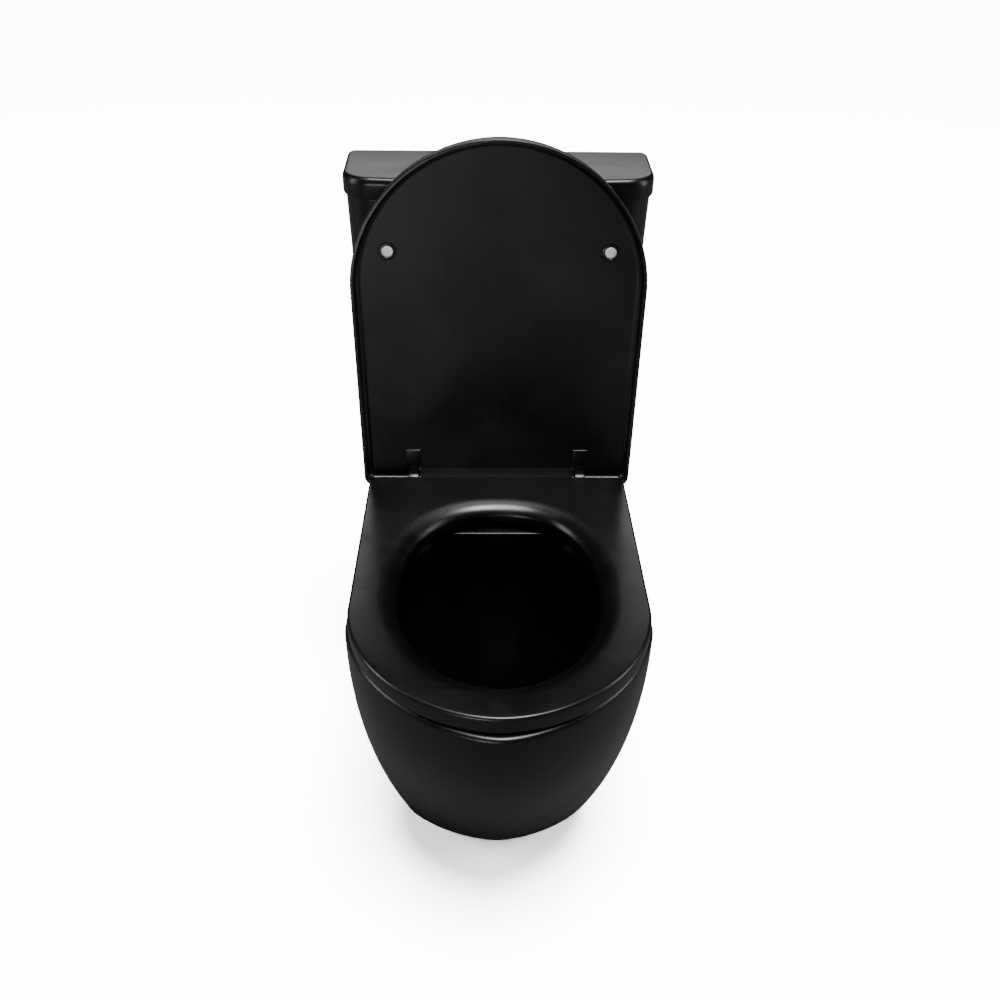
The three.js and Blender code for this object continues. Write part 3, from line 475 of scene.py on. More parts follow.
def settled_dust():
    """Sparse pale specks and faint wiped smears, as a mask from 0 to 1."""
    group = bpy.data.node_groups.get("Settled Dust")
    if group:
        return group
    group = bpy.data.node_groups.new("Settled Dust", "ShaderNodeTree")
    group_socket(group, "Speck Scale", "NodeSocketFloat", 260.0)
    group_socket(group, "Smear Scale", "NodeSocketFloat", 7.0)
    group_socket(group, "Specks", "NodeSocketFloat", direction="OUTPUT")
    group_socket(group, "Smears", "NodeSocketFloat", direction="OUTPUT")
    nodes, links = group.nodes, group.links
    entry = nodes.new("NodeGroupInput")
    leave = nodes.new("NodeGroupOutput")
    place = nodes.new("ShaderNodeTexCoord")
    cells = nodes.new("ShaderNodeTexVoronoi")
    links.new(place.outputs["Object"], cells.inputs["Vector"])
    links.new(entry.outputs["Speck Scale"], cells.inputs["Scale"])
    specks = nodes.new("ShaderNodeMapRange")
    specks.inputs["From Min"].default_value = 0.09
    specks.inputs["From Max"].default_value = 0.04
    links.new(cells.outputs["Distance"], specks.inputs["Value"])
    stretch = nodes.new("ShaderNodeMapping")
    stretch.inputs["Scale"].default_value = (1.0, 2.6, 0.7)
    stretch.inputs["Rotation"].default_value = (0.3, 0.2, 0.5)
    links.new(place.outputs["Object"], stretch.inputs["Vector"])
    smear = nodes.new("ShaderNodeTexNoise")
    smear.inputs["Detail"].default_value = 7
    smear.inputs["Distortion"].default_value = 0.8
    links.new(stretch.outputs["Vector"], smear.inputs["Vector"])
    links.new(entry.outputs["Smear Scale"], smear.inputs["Scale"])
    smears = nodes.new("ShaderNodeMapRange")
    smears.inputs["From Min"].default_value = 0.5
    smears.inputs["From Max"].default_value = 0.75
    links.new(smear.outputs["Fac"], smears.inputs["Value"])
    links.new(specks.outputs["Result"], leave.inputs["Specks"])
    links.new(smears.outputs["Result"], leave.inputs["Smears"])
    return group


def finish_material(name, tint, rough, spread, lift=0.25, bump=0.0001, grain=900.0, drift=9.0,
                    metallic=0.0, dust=0.0, stretch=None, shine=0.5):
    """A material whose colour, roughness and bump drift over the surface."""
    material = bpy.data.materials.new(name)
    material.use_nodes = True
    nodes, links = material.node_tree.nodes, material.node_tree.links
    shader = nodes["Principled BSDF"]
    shader.inputs["Metallic"].default_value = metallic
    shader.inputs["Specular IOR Level"].default_value = shine
    texture = nodes.new("ShaderNodeGroup")
    texture.node_tree = fine_grain()
    texture.inputs["Drift Scale"].default_value = drift
    texture.inputs["Grain Scale"].default_value = grain
    tone = nodes.new("ShaderNodeMix")
    tone.data_type = "RGBA"
    base = tuple(tint)
    tone.inputs["A"].default_value = tuple(c * (1 - lift) for c in base[:3]) + (1,)
    tone.inputs["B"].default_value = tuple(min(c * (1 + lift), 1) for c in base[:3]) + (1,)
    links.new(texture.outputs["Drift"], tone.inputs["Factor"])
    gloss = nodes.new("ShaderNodeMapRange")
    gloss.inputs["From Min"].default_value = 0.3
    gloss.inputs["From Max"].default_value = 0.7
    gloss.inputs["To Min"].default_value = rough - spread
    gloss.inputs["To Max"].default_value = rough + spread
    links.new(texture.outputs["Drift"], gloss.inputs["Value"])
    colour_out, gloss_out = tone.outputs["Result"], gloss.outputs["Result"]
    if dust:
        cover = nodes.new("ShaderNodeGroup")
        cover.node_tree = settled_dust()
        pale = nodes.new("ShaderNodeMix")
        pale.data_type = "RGBA"
        pale.inputs["B"].default_value = (0.08, 0.08, 0.08, 1)
        amount = nodes.new("ShaderNodeMath")
        amount.operation = "MULTIPLY"
        amount.inputs[1].default_value = dust
        links.new(cover.outputs["Specks"], amount.inputs[0])
        links.new(amount.outputs["Value"], pale.inputs["Factor"])
        links.new(colour_out, pale.inputs["A"])
        colour_out = pale.outputs["Result"]
        dull = nodes.new("ShaderNodeMath")
        dull.operation = "MULTIPLY_ADD"
        dull.inputs[1].default_value = 0.12
        links.new(cover.outputs["Smears"], dull.inputs[0])
        links.new(gloss_out, dull.inputs[2])
        gloss_out = dull.outputs["Value"]
    relief = nodes.new("ShaderNodeBump")
    relief.inputs["Strength"].default_value = 0.35
    relief.inputs["Distance"].default_value = bump
    height_out = texture.outputs["Height"]
    if stretch:
        place = nodes.new("ShaderNodeTexCoord")
        turn = nodes.new("ShaderNodeMapping")
        turn.inputs["Scale"].default_value = stretch
        brushed = nodes.new("ShaderNodeTexNoise")
        brushed.inputs["Scale"].default_value = 1.0
        links.new(place.outputs["Object"], turn.inputs["Vector"])
        links.new(turn.outputs["Vector"], brushed.inputs["Vector"])
        height_out = brushed.outputs["Fac"]
    links.new(height_out, relief.inputs["Height"])
    links.new(colour_out, shader.inputs["Base Color"])
    links.new(gloss_out, shader.inputs["Roughness"])
    links.new(relief.outputs["Normal"], shader.inputs["Normal"])
    return material


def material(slot):
    """A slot's finish, made once; the frame's plain materials already hold the slots' own names."""
    name = f"{slot}_finish"
    found = bpy.data.materials.get(name)
    if found:
        return found
    tints = bpy.context.scene.toilet_finishes
    recipes = {
        "black_ceramic": lambda: finish_material(
            name, tints.ceramic, 0.3, 0.03, bump=0.0001, grain=420, drift=7, dust=0.03, shine=0.48),
        "black_plastic": lambda: finish_material(
            name, tints.plastic, 0.3, 0.03, bump=0.00006, grain=1500, drift=11, dust=0.03, shine=0.55),
        "white_silicone": lambda: finish_material(
            name, tints.silicone, 0.42, 0.05, lift=0.05, bump=0.00008, grain=2200, drift=60),
        "black_rubber": lambda: finish_material(name, tints.rubber, 0.72, 0.06, bump=0.0002, grain=1800),
        "white_plastic": lambda: finish_material(
            name, tints.white, 0.42, 0.05, lift=0.04, bump=0.0001, grain=1400, drift=24),
        "grey_plastic": lambda: finish_material(
            name, tints.grey, 0.45, 0.05, lift=0.08, bump=0.0001, grain=1400, drift=24),
        "blue_plastic": lambda: finish_material(
            name, tints.blue, 0.42, 0.05, lift=0.08, bump=0.0001, grain=1400, drift=24),
        "stainless_steel": lambda: finish_material(
            name, tints.steel, 0.3, 0.06, lift=0.06, bump=0.00006, metallic=1.0, stretch=(90, 90, 3200)),
        "black_button_finish": lambda: finish_material(
            name, tints.button, 0.3, 0.04, bump=0.00008, grain=1800, drift=30),
    }
    return recipes[slot]()


# ---- Pan ----
def skirt_outline(sizes, z, inset=0.0):
    """The pan's outline at a height: it flares from the foot to the rim."""
    flare_top = RIM - 0.010
    swell = math.sin(QUARTER * min(max(z, 0) / flare_top, 1))
    wide = swell**sizes.swell_width
    back = 1 - swell**sizes.swell_front
    return egg(
        mix(sizes.foot_width, PAN_HIGH.x - PAN_LOW.x, wide),
        FRONT + sizes.foot_setback * back,
        FRONT + sizes.widest + sizes.foot_widest * back,
        sizes.power,
        mix(sizes.foot_rear_width, sizes.rear_width, wide),
        FRONT + sizes.deck,
        sizes.deck_corner,
        inset,
    )


def bowl_solid(name, sizes, grow=0.0, flared=False):
    """The bowl's inside as a solid, or its outside when grown by the wall."""
    width = PAN_HIGH.x - PAN_LOW.x - 2 * sizes.rim_side
    front = FRONT + sizes.rim_front
    rear = front + sizes.bowl

    def above(part):
        return mix(sizes.water, RIM, part)

    # Height, then shares of the bowl's half width and length: half width, front and rear setback.
    rows = smooth_rows([
        (sizes.sump - grow, 0.197, 0.665, 0.182),
        (mix(sizes.sump, sizes.water, 0.54), 0.356, 0.535, 0.135),
        (sizes.water, 0.47, 0.412, 0.106),
        (above(0.21), 0.63, 0.247, 0.068),
        (above(0.42), 0.80, 0.118, 0.038),
        (above(0.65), 0.94, 0.041, 0.018),
        (RIM - sizes.bowl_edge, 1.0, 0.0, 0.0),
    ], 6)
    rings = []

    def ring(z, wide, ahead, behind, inset):
        half = wide * width / 2
        start = front + ahead * sizes.bowl
        end = rear - behind * sizes.bowl
        widest = start + min(half * 1.2, (end - start) * 0.55)
        outline = round_outline(half * 2, start, widest, end, sizes.bowl_power, inset)
        return [(x, y, z) for x, y in outline]

    for z, wide, ahead, behind in rows:
        rings.append(ring(z, wide, ahead, behind, -grow))
    if flared:
        for i in range(1, 7):
            a = QUARTER * i / 6
            outwards = sizes.bowl_edge * (1 - math.cos(a))
            rings.append(ring(RIM - sizes.bowl_edge * (1 - math.sin(a)), 1, 0, 0, -outwards))
        rings.append(ring(RIM + 0.002, 1, 0, 0, -sizes.bowl_edge))
    else:
        rings.append(ring(RIM + 0.001, 1, 0, 0, -grow))
    return skin(name, rings)


def trap_path(sizes):
    rear = FRONT + sizes.rim_front + sizes.bowl
    start, end = rear - 0.096, PAN_HIGH.y - 0.086
    low, crest = sizes.sump + sizes.trap / 2, sizes.water + sizes.trap / 2
    rows = smooth_rows([
        (0.0, low), (0.185, low - 0.001), (0.356, mix(low, crest, 0.19)), (0.496, mix(low, crest, 0.66)),
        (0.637, crest), (0.8, sizes.outlet - 0.002), (1.0, sizes.outlet),
    ], 6)
    return [(0, mix(start, end, part), z) for part, z in rows], end


def make_pan(sizes):
    bowl_rear = FRONT + sizes.rim_front + sizes.bowl
    half_neck = sizes.neck / 2
    neck_front = FRONT + sizes.deck - 0.090
    under = RIM - 0.014
    flare_top = RIM - 0.010

    rows = rounding(0, 0, 0.002, 0.002, 4, upwards=False)
    rows += [(mix(0.002, flare_top, (i + 1) / 26), 0) for i in range(26)]
    rows += [(RIM - sizes.edge - 0.001, 0)] + rounding(RIM, 0, sizes.edge, sizes.edge, 8)
    body = loft("pan_body", rows, lambda z, inset: skirt_outline(sizes, z, inset))
    neck = slab("neck", (-half_neck, half_neck), (neck_front, PAN_HIGH.y), (0, RIM), 0.005)
    join(body, neck)

    past = 0.004
    levels = [(mix(-past, under, i / 16), sizes.wall) for i in range(17)]
    hollow = loft("hollow", levels, lambda z, inset: skirt_outline(sizes, z, inset))
    inner = half_neck - sizes.wall
    join(hollow, slab("back", (-inner, inner), (neck_front, PAN_HIGH.y + past), (-past, under)))
    path, trap_end = trap_path(sizes)
    casing = 0.009
    spigot_end = PAN_HIGH.y - 0.006
    _, guide_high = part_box("flush_guide")
    gasket_low, gasket_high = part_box("coupling_gasket")
    duct_height = 0.038
    duct_floor = guide_high.z - 0.008 - duct_height
    half_duct = 0.032
    gasket_radius = (gasket_high.x - gasket_low.x) / 2
    kept = [
        bowl_solid("bowl_outside", sizes, grow=casing),
        pipe("trap_outside", path, sizes.trap / 2 + casing),
        rod("spigot", sizes.outlet_outer / 2, (0, sizes.outlet), (trap_end - 0.036, spigot_end), "Y"),
        slab("duct", (-half_duct - casing, half_duct + casing), (bowl_rear - 0.004, PAN_HIGH.y),
             (duct_floor - casing, RIM - 0.002)),
        rod("boss", gasket_radius + casing, (0, VALVE_Y), (gasket_low.z - 0.012, RIM - 0.002)),
    ]
    cut(hollow, *kept)
    cut(body, hollow)
    passages = [
        bowl_solid("bowl_inside", sizes, flared=True),
        pipe("trap_inside", path, sizes.trap / 2),
        rod("outlet", sizes.outlet_bore / 2, (0, sizes.outlet), (trap_end - 0.020, PAN_HIGH.y + past), "Y"),
        slab("duct_inside", (-half_duct, half_duct), (bowl_rear - 0.020, VALVE_Y + half_duct),
             (duct_floor, duct_floor + duct_height)),
        rod("valve_hole", half_duct, (0, VALVE_Y), (duct_floor + 0.001, RIM + past)),
        rod("gasket_seat", gasket_radius + 0.0005, (0, VALVE_Y), (gasket_low.z - 0.0003, RIM + past)),
    ]
    cut(body, *passages)
    holes = []
    for side in ("left", "right"):
        low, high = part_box(f"coupling_bolt_{side}")
        holes.append(rod("bolt_hole", 0.006, ((low.x + high.x) / 2, VALVE_Y), (under - past, RIM + past)))
        low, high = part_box(f"hinge_stud_{side}")
        holes.append(rod("stud_hole", 0.007, ((low.x + high.x) / 2, HINGE.y), (under - past, RIM + past)))
        low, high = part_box(f"skirt_cap_{side}")
        middle = ((low.y + high.y) / 2, (low.z + high.z) / 2)
        sign = math.copysign(1, low.x)
        seat = min(abs(low.x), abs(high.x)) - 0.0043
        holes.append(rod("cap_hole", 0.0095, middle, sorted((sign * seat, sign * (seat + 0.03))), "X"))
        holes.append(rod("screw_hole", 0.005, middle, sorted((sign * (seat - 0.02), sign * seat)), "X"))
    return cut(body, *holes)


class ToiletPan(bpy.types.Operator):
    """Adds the pan: skirt, rim, bowl, trap, outlet spigot and the neck that carries the cistern"""
    bl_idname = "toilet.pan"
    bl_label = "Pan"

    def execute(self, context):
        pan = make_pan(context.scene.toilet_pan)
        settle(pan, "base", "black_ceramic", material("black_ceramic"), "pan")
        return {"FINISHED"}


class ToiletFlushGuide(bpy.types.Operator):
    """Adds the guide that spreads the flush round the bowl"""
    bl_idname = "toilet.flush_guide"
    bl_label = "Flush guide"

    def execute(self, context):
        low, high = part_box("flush_guide")
        sizes = context.scene.toilet_pan
        hood_rear = FRONT + sizes.rim_front + sizes.bowl
        face, base, top = low.y + 0.008, high.z - 0.026, high.z + 0.006
        across = (low.x - 0.004, high.x + 0.004)
        hood = slab("flush_guide_hood", across, (face, hood_rear), (base, top), 0.002)
        crop(hood, bowl_solid("guide_bowl", sizes, grow=-0.001))
        ledge = slab("ledge", (-sizes.ledge, sizes.ledge), (-0.05, hood_rear), (base, base + 0.007), 0.002)
        crop(ledge, bowl_solid("ledge_bowl", sizes, grow=-0.0005))
        cut(ledge, bowl_solid("ledge_hollow", sizes, grow=-0.008))
        join(hood, ledge)
        half_tail = 0.030
        tail = slab("tail", (-half_tail, half_tail), (hood_rear - 0.016, high.y),
                    (low.z, high.z - 0.010), 0.002)
        join(hood, tail)
        slot = slab("slot", (low.x + 0.006, high.x - 0.006), (face + 0.004, hood_rear - 0.016),
                    (low.z - 0.002, high.z - 0.013), 0.003)
        channel = slab("channel", (-half_tail + 0.003, half_tail - 0.003), (low.y + 0.008, high.y + 0.001),
                       (low.z + 0.003, high.z - 0.013), 0.001)
        cut(hood, slot, channel)
        settle(hood, "base", "black_ceramic", material("black_ceramic"), "flush_guide")
        return {"FINISHED"}


# ---- Cistern ----
class ToiletCistern(bpy.types.Operator):
    """Adds the cistern's tank: a tapered shell with a bowed front, an open top and holes in its floor"""
    bl_idname = "toilet.cistern"
    bl_label = "Cistern tank"

    def execute(self, context):
        sizes = context.scene.toilet_cistern
        foot, top = TANK_LOW.z, TANK_HIGH.z
        width, depth = TANK_HIGH.x - TANK_LOW.x, TANK_HIGH.y - TANK_LOW.y

        def outline(z, inset):
            part = min(max((z - foot) / (top - foot), 0), 1)
            wide, deep = mix(sizes.foot_width, width, part), mix(sizes.foot_depth, depth, part)
            return tank_outline(sizes, wide, deep, inset)

        rows = rounding(foot, 0, 0.010, 0.009, 8, upwards=False)
        rows += [(mix(foot + 0.010, top - 0.002, (i + 1) / 10), 0) for i in range(10)]
        rows += rounding(top, 0, 0.0015, 0.0015, 4)
        tank = loft("cistern_tank_body", rows, outline)
        hollow_rows = rounding(foot + sizes.floor, sizes.wall, 0.008, 0.008, 6, upwards=False)
        hollow_rows += [(top + 0.002, sizes.wall)]
        cut(tank, loft("hollow", hollow_rows, outline))
        drop = (foot - 0.002, foot + sizes.floor + 0.002)
        inlet_low, inlet_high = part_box("fill_valve_washer")
        inlet_x = (inlet_low.x + inlet_high.x) / 2
        holes = [
            rod("valve_hole", 0.032, (0, VALVE_Y), drop),
            rod("inlet_hole", 0.011, (inlet_x, VALVE_Y), drop),
        ]
        for side in ("left", "right"):
            low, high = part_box(f"coupling_bolt_{side}")
            holes.append(rod("bolt_hole", 0.006, ((low.x + high.x) / 2, VALVE_Y), drop))
        cut(tank, *holes)
        settle(tank, "base", "black_ceramic", material("black_ceramic"), "cistern_tank")
        return {"FINISHED"}


class ToiletCisternLid(bpy.types.Operator):
    """Adds the cistern's loose lid, with its recessed underside and its hole for the buttons"""
    bl_idname = "toilet.cistern_lid"
    bl_label = "Cistern lid"

    def execute(self, context):
        sizes = context.scene.toilet_cistern
        width, depth = CAP_HIGH.x - CAP_LOW.x, CAP_HIGH.y - CAP_LOW.y

        def outline(z, inset):
            return tank_outline(sizes, width, depth, inset)

        rows = rounding(CAP_LOW.z, 0, 0.002, 0.0015, 4, upwards=False)
        rows += [(CAP_HIGH.z - sizes.cap_edge - 0.001, 0)]
        rows += rounding(CAP_HIGH.z, 0, sizes.cap_edge, 0.007, 10)
        cap = loft("cistern_lid_cap", rows, outline)
        bearing = 0.014
        recess_rows = [(CAP_LOW.z - 0.002, bearing)]
        recess_rows += rounding(CAP_LOW.z + sizes.recess, bearing, 0.004, 0.004, 5)
        cut(cap, loft("recess", recess_rows, outline))
        cut(cap, rod("hole", 0.026, (0, VALVE_Y), (CAP_LOW.z, CAP_HIGH.z + 0.002)))
        settle(cap, "cistern_cap", "black_ceramic", material("black_ceramic"), "cistern_lid")
        return {"FINISHED"}


class ToiletButtons(bpy.types.Operator):
    """Adds the two flush buttons in their bezel, with their push rods and springs"""
    bl_idname = "toilet.buttons"
    bl_label = "Flush buttons"

    def execute(self, context):
        finish = material("black_button_finish")
        low, high = BEZEL_LOW, BEZEL_HIGH
        radius = (high.x - low.x) / 2
        top = CAP_HIGH.z
        bore, outer = 0.022, 0.025
        rim = [(radius - w, z) for z, w in rounding(high.z, 0.0, high.z - top - 0.0003, 0.004, 6)]
        profile = [
            (bore, low.z + 0.003), (outer, low.z + 0.003), (outer, top + 0.0003), *rim,
            (bore + 0.0025, high.z), (bore + 0.0006, high.z - 0.0006), (bore, high.z - 0.0018),
        ]
        bezel = turned("button_bezel_ring", profile, (0, VALVE_Y, 0))
        floor = rod("floor", outer - 0.0001, (0, VALVE_Y), (low.z, low.z + 0.0035))
        join(bezel, floor)
        rods = {kind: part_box(f"{kind}_push_rod") for kind in ("full", "half")}
        guides = [
            rod("guide", 0.004, ((a.x + b.x) / 2, VALVE_Y), (low.z - 0.002, low.z + 0.006))
            for a, b in rods.values()
        ]
        cut(bezel, *guides)
        settle(bezel, "cistern_cap", "black_button_finish", finish, "button_bezel")

        for kind, (a, b) in rods.items():
            disc_low, disc_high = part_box(f"{kind}_flush_button")
            disc = rod(f"{kind}_flush_disc", bore - 0.0006, (0, VALVE_Y),
                       (disc_low.z, disc_high.z), edge=0.0012)
            span = (disc_low.x - 0.002, disc_high.x) if kind == "half" else (disc_low.x, disc_high.x + 0.002)
            crop(disc, slab("half", span, (VALVE_Y - 0.04, VALVE_Y + 0.04),
                            (disc_low.z - 0.01, disc_high.z + 0.01)))
            settle(disc, f"{kind}_button", "black_button_finish", finish, f"{kind}_flush_button")
            middle = ((a.x + b.x) / 2, VALVE_Y)
            stem = rod(f"{kind}_push_stem", (b.x - a.x) / 2, middle, (a.z, b.z), edge=0.0006)
            settle(stem, f"{kind}_button", "white_plastic", material("white_plastic"), f"{kind}_push_rod")
            self.coil(kind, middle[0])
        return {"FINISHED"}

    def coil(self, kind, x):
        """A spring round the push rod."""
        node = f"{kind}_button_spring"
        low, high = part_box(node)
        wire, turns, steps = 0.0008, 4, 28
        radius = (high.x - low.x) / 2 - wire
        path = []
        for i in range(turns * steps + 1):
            a = 2 * math.pi * i / steps
            z = mix(low.z + wire, high.z - wire, i / (turns * steps))
            path.append((x + radius * math.cos(a), VALVE_Y + radius * math.sin(a), z))
        coil = pipe(f"{kind}_spring_coil", path, wire, 10)
        settle(coil, "cistern_cap", "stainless_steel", material("stainless_steel"), node)
        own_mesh(coil)


# ---- Seat ----
def ring_outline(sizes, inset=0.0):
    return egg(
        RING_HIGH.x - RING_LOW.x, RING_LOW.y, FRONT + bpy.context.scene.toilet_pan.widest, sizes.power,
        sizes.rear_width, HINGE.y + 0.0203, 0.008, inset,
    )


def opening_outline(sizes, inset=0.0):
    front = RING_LOW.y + sizes.opening_front
    widest = front + sizes.opening_widest
    rear = front + sizes.opening_length
    return round_outline(sizes.opening, front, widest, rear, sizes.opening_power, inset)


def make_seat(sizes):
    low, crown = RING_LOW.z, RING_HIGH.z
    rows = rounding(low, 0, 0.0025, 0.002, 4, upwards=False) + [(crown - 0.0055, 0)]
    rows += rounding(crown - 0.0006, 0, 0.0045, 0.004, 8) + [(crown - 0.0002, 0.009), (crown, 0.018)]
    seat = loft("seat_ring_body", rows, lambda z, inset: ring_outline(sizes, inset))
    drop = 0.016
    dish = [(low - 0.002, 0.0), (crown - drop, 0.0)]
    for i in range(1, 13):
        a = QUARTER * i / 12
        dish.append((crown - drop * (1 - math.sin(a)), -sizes.dish * (1 - math.cos(a))))
    dish.append((crown + 0.002, -sizes.dish))
    opening = loft("opening", dish, lambda z, inset: opening_outline(sizes, inset))
    arm_low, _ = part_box("lid_hinge_arm_right")
    knuckle = arm_low.x
    half = RING_HIGH.x + 0.02
    depth = (low - 0.01, crown + 0.01)
    behind = slab("behind", (-half, half), (HINGE.y, HINGE.y + 0.05), depth)
    corners = [
        slab("corner", sorted((s * knuckle, s * half)), (HINGE.y - 0.0095, HINGE.y + 0.05), depth)
        for s in (-1, 1)
    ]
    cut(seat, opening, behind, *corners)
    barrel = rod("barrel", RING_HIGH.y - HINGE.y, (HINGE.y, HINGE.z), (-knuckle, knuckle), "X")
    crop(barrel, slab("limit", (-half, half), (HINGE.y - 0.010, HINGE.y + 0.05), (low, crown), 0.0012))
    join(seat, barrel)

    roof = crown - 0.008
    under = loft("under", [(low - 0.002, 0.006), (roof, 0.006)], lambda z, inset: ring_outline(sizes, inset))
    keep = [
        loft("keep", [(low - 0.004, -0.014), (roof + 0.001, -0.014)],
             lambda z, inset: opening_outline(sizes, inset)),
        slab("land", (-half, half), (HINGE.y - 0.024, HINGE.y + 0.05), depth),
    ]
    for name in ("front_left", "front_right", "rear_left", "rear_right"):
        a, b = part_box(f"seat_buffer_{name}")
        middle = ((a.x + b.x) / 2, (a.y + b.y) / 2)
        keep.append(rod("boss", (b.x - a.x) / 2 + 0.004, middle, (low - 0.004, roof + 0.001)))
    cut(under, *keep)
    cut(seat, under)

    holes = []
    for side in ("left", "right"):
        a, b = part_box(f"hinge_post_{side}")
        span = (a.x - 0.001, b.x + 0.001)
        thick = (b.y - a.y) / 2
        holes.append(slab("pocket", span, (HINGE.y - 0.0105, HINGE.y + 0.024), (HINGE.z - 0.024, HINGE.z)))
        holes.append(slab("pocket_top", span, (HINGE.y, HINGE.y + 0.024),
                          (HINGE.z - 0.001, HINGE.z + thick + 0.0014)))
        holes.append(rod("pocket_round", thick + 0.001, (HINGE.y, HINGE.z), span, "X"))
        pin_low, pin_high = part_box(f"hinge_pin_{side}")
        start, end = sorted((pin_low.x, pin_high.x))
        radius = (pin_high.z - pin_low.z) / 2 + 0.0003
        holes.append(rod("pin_hole", radius, (HINGE.y, HINGE.z), (start - 0.001, end + 0.001), "X", sides=32))
    return cut(seat, *holes)


class ToiletSeat(bpy.types.Operator):
    """Adds the seat: a rounded ring dished towards its opening, with its hinge barrel and buffers"""
    bl_idname = "toilet.seat"
    bl_label = "Seat"

    def execute(self, context):
        seat = make_seat(context.scene.toilet_seat)
        settle(seat, "seat", "black_plastic", material("black_plastic"), "seat_ring")
        for name in ("front_left", "front_right", "rear_left", "rear_right"):
            node = f"seat_buffer_{name}"
            low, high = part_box(node)
            radius = (high.x - low.x) / 2
            sole = [(radius - w, z) for z, w in rounding(low.z, 0, 0.0013, 0.002, 5, upwards=False)]
            profile = [(0, low.z), *sole, (radius, high.z), (0, high.z)]
            pad = turned(f"seat_pad_{name}", profile, ((low.x + high.x) / 2, (low.y + high.y) / 2, 0), 40)
            settle(pad, "seat", "black_rubber", material("black_rubber"), node)
        return {"FINISHED"}


# ---- Lid: drawn closed, about its hinge axis, and then swung open ----
def lid_outline(sizes, inset=0.0):
    front = FRONT - HINGE.y
    rear = min(0.010, LID_HIGH.z - HINGE.z)
    return egg(
        LID_HIGH.x - LID_LOW.x, front, FRONT + bpy.context.scene.toilet_pan.widest + 0.003 - HINGE.y,
        sizes.lid_power, sizes.lid_rear_width, rear, 0.014, inset,
    )


LID_DEPTH = 0.021
HALF_ARM = 0.007
PIN_PLAY = 0.0003
BUFFER_REACH = 0.308    # from the hinge axis to the lid's buffers


def make_lid(sizes):
    bottom = -sizes.lid_below
    top = LID_DEPTH - sizes.lid_below
    inner = top - sizes.lid_panel
    wall = 0.0045
    rows = rounding(bottom, 0, 0.0018, 0.0015, 5, upwards=False) + [(top - 0.0075, 0)]
    rows += rounding(top, 0, 0.007, 0.009, 10)
    lid = loft("seat_lid_shell", rows, lambda z, inset: lid_outline(sizes, inset))
    recess = [(bottom - 0.002, wall - 0.001), (bottom, wall - 0.001)]
    recess += [(bottom + 0.0012, wall), (inner - 0.0075, wall + 0.0006)]
    recess += rounding(inner, wall + 0.0006, 0.0075, sizes.lid_lip - wall - 0.0006, 10)[1:]
    cut(lid, loft("recess", recess, lambda z, inset: lid_outline(sizes, inset)))
    arm_low, arm_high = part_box("lid_hinge_arm_right")
    arm_x = (arm_low.x + arm_high.x) / 2
    knuckle = arm_low.x
    tools = [slab("notch", (-knuckle, knuckle), (-0.011, 0.03), (-0.02, 0.03), 0.003)]
    for s in (-1, 1):
        gap = HALF_ARM + 0.001
        across = (s * arm_x - gap, s * arm_x + gap)
        tools.append(slab("arm_slot", across, (-0.0095, 0.03), (-0.02, inner), 0.0008))
    cut(lid, *tools)
    return swing_open(lid)


def make_hinge_arm(side, sizes):
    low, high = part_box(f"lid_hinge_arm_{side}")
    x = (low.x + high.x) / 2
    half = HALF_ARM
    under = LID_DEPTH - sizes.lid_below - sizes.lid_panel - 0.0003
    arm = rod(f"lid_arm_{side}", 0.008, (0, 0), (x - half, x + half), "X", edge=0.0012)
    web = slab("web", (x - half, x + half), (-0.008, 0.006), (0, under), 0.0012)
    plate = slab("plate", (x - half - 0.003, x + half + 0.003), (-0.038, -0.012),
                 (under - 0.0026, under), 0.0009)
    strap = slab("strap", (x - half, x + half), (-0.036, 0), (under - 0.0019, under), 0.0007)
    join(arm, web, plate, strap)
    pin_low, pin_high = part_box(f"hinge_pin_{side}")
    bore = (pin_high.z - pin_low.z) / 2 + PIN_PLAY
    cut(arm, rod("bore", bore, (0, 0), (x - half - 0.002, x + half + 0.002), "X", sides=32))
    return swing_open(arm)


class ToiletLid(bpy.types.Operator):
    """Adds the raised lid, a shell with a rolled edge and a lip round its recess, its arms and buffers"""
    bl_idname = "toilet.lid"
    bl_label = "Seat lid"

    def execute(self, context):
        sizes = context.scene.toilet_seat
        plastic = material("black_plastic")
        settle(make_lid(sizes), "lid", "black_plastic", plastic, "seat_lid")
        inner = LID_DEPTH - sizes.lid_below - sizes.lid_panel
        for side in ("left", "right"):
            arm = make_hinge_arm(side, sizes)
            settle(arm, "lid", "black_plastic", plastic, f"lid_hinge_arm_{side}")
            low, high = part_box(f"lid_buffer_{side}")
            x = (low.x + high.x) / 2
            face = inner - 0.0024
            radius = 0.007
            dome = [(radius - w, z) for z, w in rounding(face, 0, 0.0012, 0.0026, 6, upwards=False)]
            profile = [(0, face), *dome, (radius, inner - 0.0003), (0, inner - 0.0003)]
            pad = swing_open(turned(f"lid_pad_{side}", profile, (x, -BUFFER_REACH, 0), 56))
            settle(pad, "lid", "white_silicone", material("white_silicone"), f"lid_buffer_{side}")
            crest = inner - 0.0021
            collar = [
                (radius + 0.0003, inner - 0.0003), (radius + 0.0003, crest + 0.0005),
                (radius + 0.0009, crest), (0.0098, crest), (0.0108, crest + 0.0006),
                (0.0111, crest + 0.0014), (0.0111, inner - 0.0003),
            ]
            seat = swing_open(turned(f"lid_pad_seat_{side}", collar, (x, -BUFFER_REACH, 0), 56))
            settle(seat, "lid", "black_plastic", plastic)
        return {"FINISHED"}


